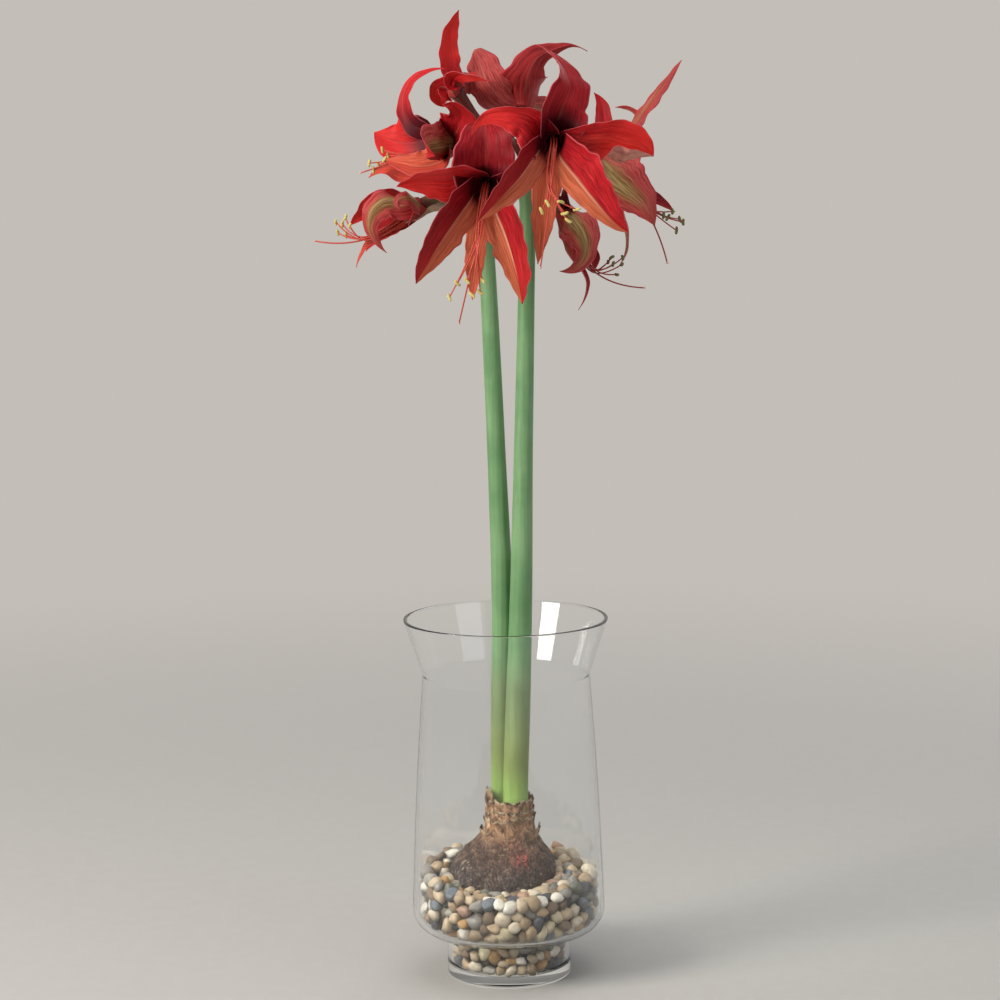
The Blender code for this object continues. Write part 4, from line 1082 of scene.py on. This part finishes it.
def pebbles_surface():
    """River pebbles: rounded blobs of three unlike half axes, with a few flattened sides each.

    A blob is a sphere of latitude rings, boxed out a little by a power below 1, pressed in where
    it passes any of six planes, stretched along its own axes and turned. Its shortest axis points
    at the glass or at the top when it is near. Stones deeper in the bed are painted darker, since
    less light gets down to them, and so is each stone's underside.
    """
    maker = np.random.default_rng(5)
    centres, radii = packed_pebbles()
    latitude = np.linspace(-pi / 2, pi / 2, PEBBLE_RINGS + 2)[1:-1, None]
    level = np.sign(np.sin(latitude)) * np.abs(np.sin(latitude))**PEBBLE_BOXED
    ball = turned_rings(np.cos(latitude)**PEBBLE_BOXED, level, round_angles(PEBBLE_COLUMNS))
    shape = np.vstack([ball.reshape(-1, 3), [(0, 0, -1.0), (0, 0, 1.0)]])
    axes = radii[:, None] * np.stack([maker.uniform(low, high, PEBBLES) for low, high in
                                      ((1.08, 1.5), (0.9, 1.08), (0.7, 0.92))], -1)
    tilt = maker.normal(size=(PEBBLES, 3, 3))
    lumps = 1 + 0.07 * np.sin(np.einsum("pij,vj->pvi", 1.6 * tilt, shape)).sum(-1)
    points = shape[None] * lumps[..., None]
    for _ in range(FLAT_SIDES):
        side = unit(maker.normal(size=(PEBBLES, 3)))
        past = np.einsum("pvi,pi->pv", points, side) - maker.uniform(0.66, 0.9, (PEBBLES, 1))
        points = points - 0.9 * np.maximum(past, 0)[..., None] * side[:, None]
    points = PEBBLE_REGAIN * points * axes[:, None]
    out = centres * (1, 1, 0)
    distance = np.linalg.norm(out, axis=1)
    below = bed_top(centres[:, 0], centres[:, 1]) - centres[:, 2]
    near_wall, near_top = ease(distance, 50, 70)[:, None], ease(below, 12, 5)[:, None]
    loose = maker.normal(size=(PEBBLES, 3))
    short = unit(3 * near_wall * unit(out + (0, 0, 0.001)) + 3 * near_top * np.array((0, 0, 1))
                 + 0.9 * loose)
    long = unit(np.cross(short, maker.normal(size=(PEBBLES, 3))))
    turn = np.stack([long, np.cross(short, long), short], 1)
    points = np.einsum("pvi,pij->pvj", points, turn) + centres[:, None]
    points = inside_glass(points.reshape(-1, 3), 0.0).reshape(points.shape)
    shares = np.array([often for code, often in STONES], float)
    kinds = maker.choice(len(STONES), PEBBLES, p=shares / shares.sum())
    stone = np.array([colour(code) for code, often in STONES])[kinds]
    stone = stone * maker.uniform(0.8, 1.1, (PEBBLES, 1))
    in_foot = centres[:, 2] < SHELF_HEIGHT + WALL
    wall = np.where(in_foot, FOOT_RADIUS, body_radius(np.maximum(centres[:, 2], BODY_BASE)))
    floor = np.where(in_foot, FOOT_FLOOR, SHELF_HEIGHT + WALL)
    depth = np.min([wall - WALL - distance - radii, below - 0.75 * radii,
                    centres[:, 2] - radii - floor], axis=0)
    stone[:, :3] *= (1 - 0.75 * ease(depth, 0.8, 5.0))[:, None]
    stone[:, 3] = maker.uniform(0, 1, PEBBLES) > 0.6
    paint = np.repeat(stone, len(shape), axis=0)
    level = (points[..., 2] - centres[:, 2:]) / radii[:, None]
    paint[:, :3] *= (1 - 0.55 * ease(level, 0.1, -0.9)).reshape(-1, 1)
    first = (np.arange(PEBBLES) * len(shape))[:, None, None]
    quads, fans = (faces[None] + first for faces in ring_faces(PEBBLE_RINGS, PEBBLE_COLUMNS))
    return {"points": points.reshape(-1, 3), "quads": quads.reshape(-1, 4),
            "fans": fans.reshape(-1, 3), "paint": paint, "place": np.zeros((len(paint), 2))}


# ---------------------------------------------------------------- vase

def wall_outline(inset):
    """(radius, height) of the body from its shelf to the waist, inset from the outside.

    The wall thins on its way up.
    """
    heights = np.linspace(BODY_BASE, WAIST_HEIGHT, 16)
    turn = np.radians(np.linspace(-78, 0, 14)[:-1])
    reach = BODY_CORNER - inset
    centre = BODY_RADIUS - BODY_CORNER
    corner = [(centre + reach * cos(a), BODY_BASE + reach * sin(a)) for a in turn]
    thin = np.interp(heights, (BODY_BASE, WAIST_HEIGHT), (1, WAIST_WALL / WALL))
    return corner + [(body_radius(z) - inset * share, z) for z, share in zip(heights, thin)]


def vase_surface():
    """The vase: one outline, up the inside and down the outside, turned about its axis.

    Each corner has its own rounding: 5 mm inside the foot, 2 mm over the shelf, 1 mm at the
    waist, 1.3 mm at the rim, 1.5 mm under the shelf and 2.5 mm round the foot.
    """
    body_in, body_out = wall_outline(WALL), wall_outline(0)[::-1]
    foot_in = FOOT_RADIUS - WALL
    outline = [(POLE_RADIUS, FOOT_FLOOR), (foot_in, FOOT_FLOOR), (foot_in, SHELF_HEIGHT + 1),
               *body_in, (RIM_RADIUS - RIM_WALL, VASE_HEIGHT), (RIM_RADIUS, VASE_HEIGHT),
               *body_out, (FOOT_RADIUS, SHELF_HEIGHT - 2), (FOOT_RADIUS, 0), (POLE_RADIUS, 0)]
    smooth_in, smooth_out = [0.0] * (len(body_in) - 1), [0.0] * (len(body_out) - 1)
    radii = [0.0, 5.0, 2.0, *smooth_in, 1.0, 1.3, 1.3, 1.0, *smooth_out, 1.5, 2.5, 0.0]
    radius, height = held(rounded(outline, radii)).T[..., None]
    return rings_surface(turned_rings(radius, height, round_angles(VASE_SIDES)))


# ---------------------------------------------------------------- the piece list

def make_object():
    """Every piece of the visual model."""
    tepal, stalk, stamen, bulb = tepal_look(), stalk_look(), stamen_look(), bulb_look()
    collars = joined([collar_surface(*collar) for collar in COLLARS])
    add_piece("vase_glass", vase_surface(), glass_look(), ["vase"])
    add_piece("river_pebbles", pebbles_surface(), pebble_look(), ["pebble_bed"])
    add_piece("bulb_body", bulb_surface(), bulb, ["bulb"])
    add_piece("bulb_dry_skins", collars, bulb, ["bulb_tunic"])
    for side in STALKS:
        parts = [stalk_surface(side)]
        parts += [pedicel_surface(f) for f in FLOWERS.values() if f.stalk == side]
        if side == "left":
            parts.append(bract_surface())
        add_piece(f"stalk_{side}", joined(parts), stalk, [f"scape_{side}"])
    seed = 0
    for name, flower in FLOWERS.items():
        order = np.argsort(np.argsort([part.azimuth for part in flower.tepals]))
        for number, part in enumerate(flower.tepals, 1):
            seed += 1
            blade = tepal_surface(flower, part, seed, order[number - 1] % 2 == 0)
            add_piece(f"{name}_blade_{number}", blade, tepal,
                      [f"{name}_tepal_{number}"])
        if flower.stamens:
            node = f"{name}_stamens"
            add_piece(f"{name}_threads", stamens_surface(flower, 40 * seed), stamen,
                      [node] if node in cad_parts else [])


# ---------------------------------------------------------------- room, light and camera

def seen(tree):
    """1 on a ray that brings what it meets to the eye, straight, in gloss or through glass."""
    path = add_node(tree, "LightPath").node.outputs
    share = add_node(tree, "MAXIMUM", path["Is Camera Ray"], path["Is Glossy Ray"])
    return add_node(tree, "MAXIMUM", share, path["Is Transmission Ray"])


def make_room():
    """A round pale floor that fades into air of the same paleness, with no edge from any side.

    It is matt paper, which gives the eye no gloss, only mottling too faint to notice.
    """
    rim = turned_rings(FLOOR_REACH, -FLOOR_DROP, round_angles(FLOOR_SIDES))
    mesh = bpy.data.meshes.new("floor")
    mesh.from_pydata(rim.tolist(), [], [list(range(FLOOR_SIDES))])
    look, add, shader = new_look("matt_floor_paper")
    place = add("TexCoord")
    # the mottling comes in clouds about 17 mm across
    base = add("Mix", add("TexNoise", place, Scale=60, Detail=3), "#C8C3BC", "#CDC9C3")
    fill(shader, {"Base Color": base, "Roughness": 0.9, "Specular IOR Level": 0.1})
    far = add("VectorMath", place, operation="LENGTH", output="Value")
    fade = add("MULTIPLY", add("MapRange", far, *FLOOR_FADE), seen(look.node_tree))
    both = add("MixShader", fade, shader.outputs[0], add("Emission", PALE_AIR, 1))
    fill(look.node_tree.nodes["Material Output"], {"Surface": both})
    mesh.materials.append(look)
    linked("floor", mesh)


def add_lamp(name, place, target, size, power, tint="#FFFFFF"):
    """A soft rectangular lamp that faces a target, in metres and watts."""
    data = bpy.data.lights.new(name, "AREA")
    data.shape = "RECTANGLE"
    data.size, data.size_y = size
    data.energy = power
    data.color = colour(tint)[:3]
    back = unit(np.array(place) - np.array(target))
    side = unit(np.cross((0, 0, 1), back))
    turn = Matrix(np.stack([side, np.cross(back, side), back], 1).tolist()).to_4x4()
    linked(name, data).matrix_world = Matrix.Translation(place) @ turn


def make_light():
    """Soft light from a window at the front left, weak light from other sides, and pale air."""
    add_lamp("window", (-2.0, -1.2, 1.5), (0, 0, 0.5), (1.0, 1.4), 56, "#FFFBF5")
    add_lamp("fill", (1.8, -1.6, 1.2), (0, 0, 0.5), (1.4, 1.4), 7, "#F4F8FF")
    add_lamp("top", (0.2, -0.2, 2.6), (0, 0, 0.4), (1.6, 1.6), 15)
    add_lamp("rear", (1.4, 2.2, 1.9), (0, 0, 0.5), (1.4, 1.4), 9, "#F4F8FF")
    # the air lights the plant as a dim cool sky, and the eye sees it as pale as the floor's rim
    world = bpy.data.worlds.new("air")
    world.use_nodes = True
    tree = world.node_tree
    ground = tree.nodes["Background"]
    fill(ground, {"Color": "#DDE2E8", "Strength": 0.38})
    both = add_node(tree, "MixShader", seen(tree), ground.outputs[0],
                    add_node(tree, "Background", PALE_AIR, 1))
    fill(tree.nodes["World Output"], {"Surface": both})
    bpy.context.scene.world = world


def make_camera():
    """The camera, level with the flowers and looking a little down."""
    data = bpy.data.cameras.new("camera")
    data.lens = CAMERA_LENS
    data.sensor_width = 36
    camera = linked("camera", data)
    turn = Matrix.Rotation(radians(90 - CAMERA_DIP), 4, "X") @ Matrix.Rotation(CAMERA_ROLL, 4, "Z")
    place = [value * MM for value in CAMERA_PLACE]
    camera.matrix_world = Matrix.Translation(place) @ turn
    bpy.context.scene.camera = camera


make_object()
make_room()
make_light()
make_camera()
bpy.context.scene.view_settings.view_transform = "Standard"
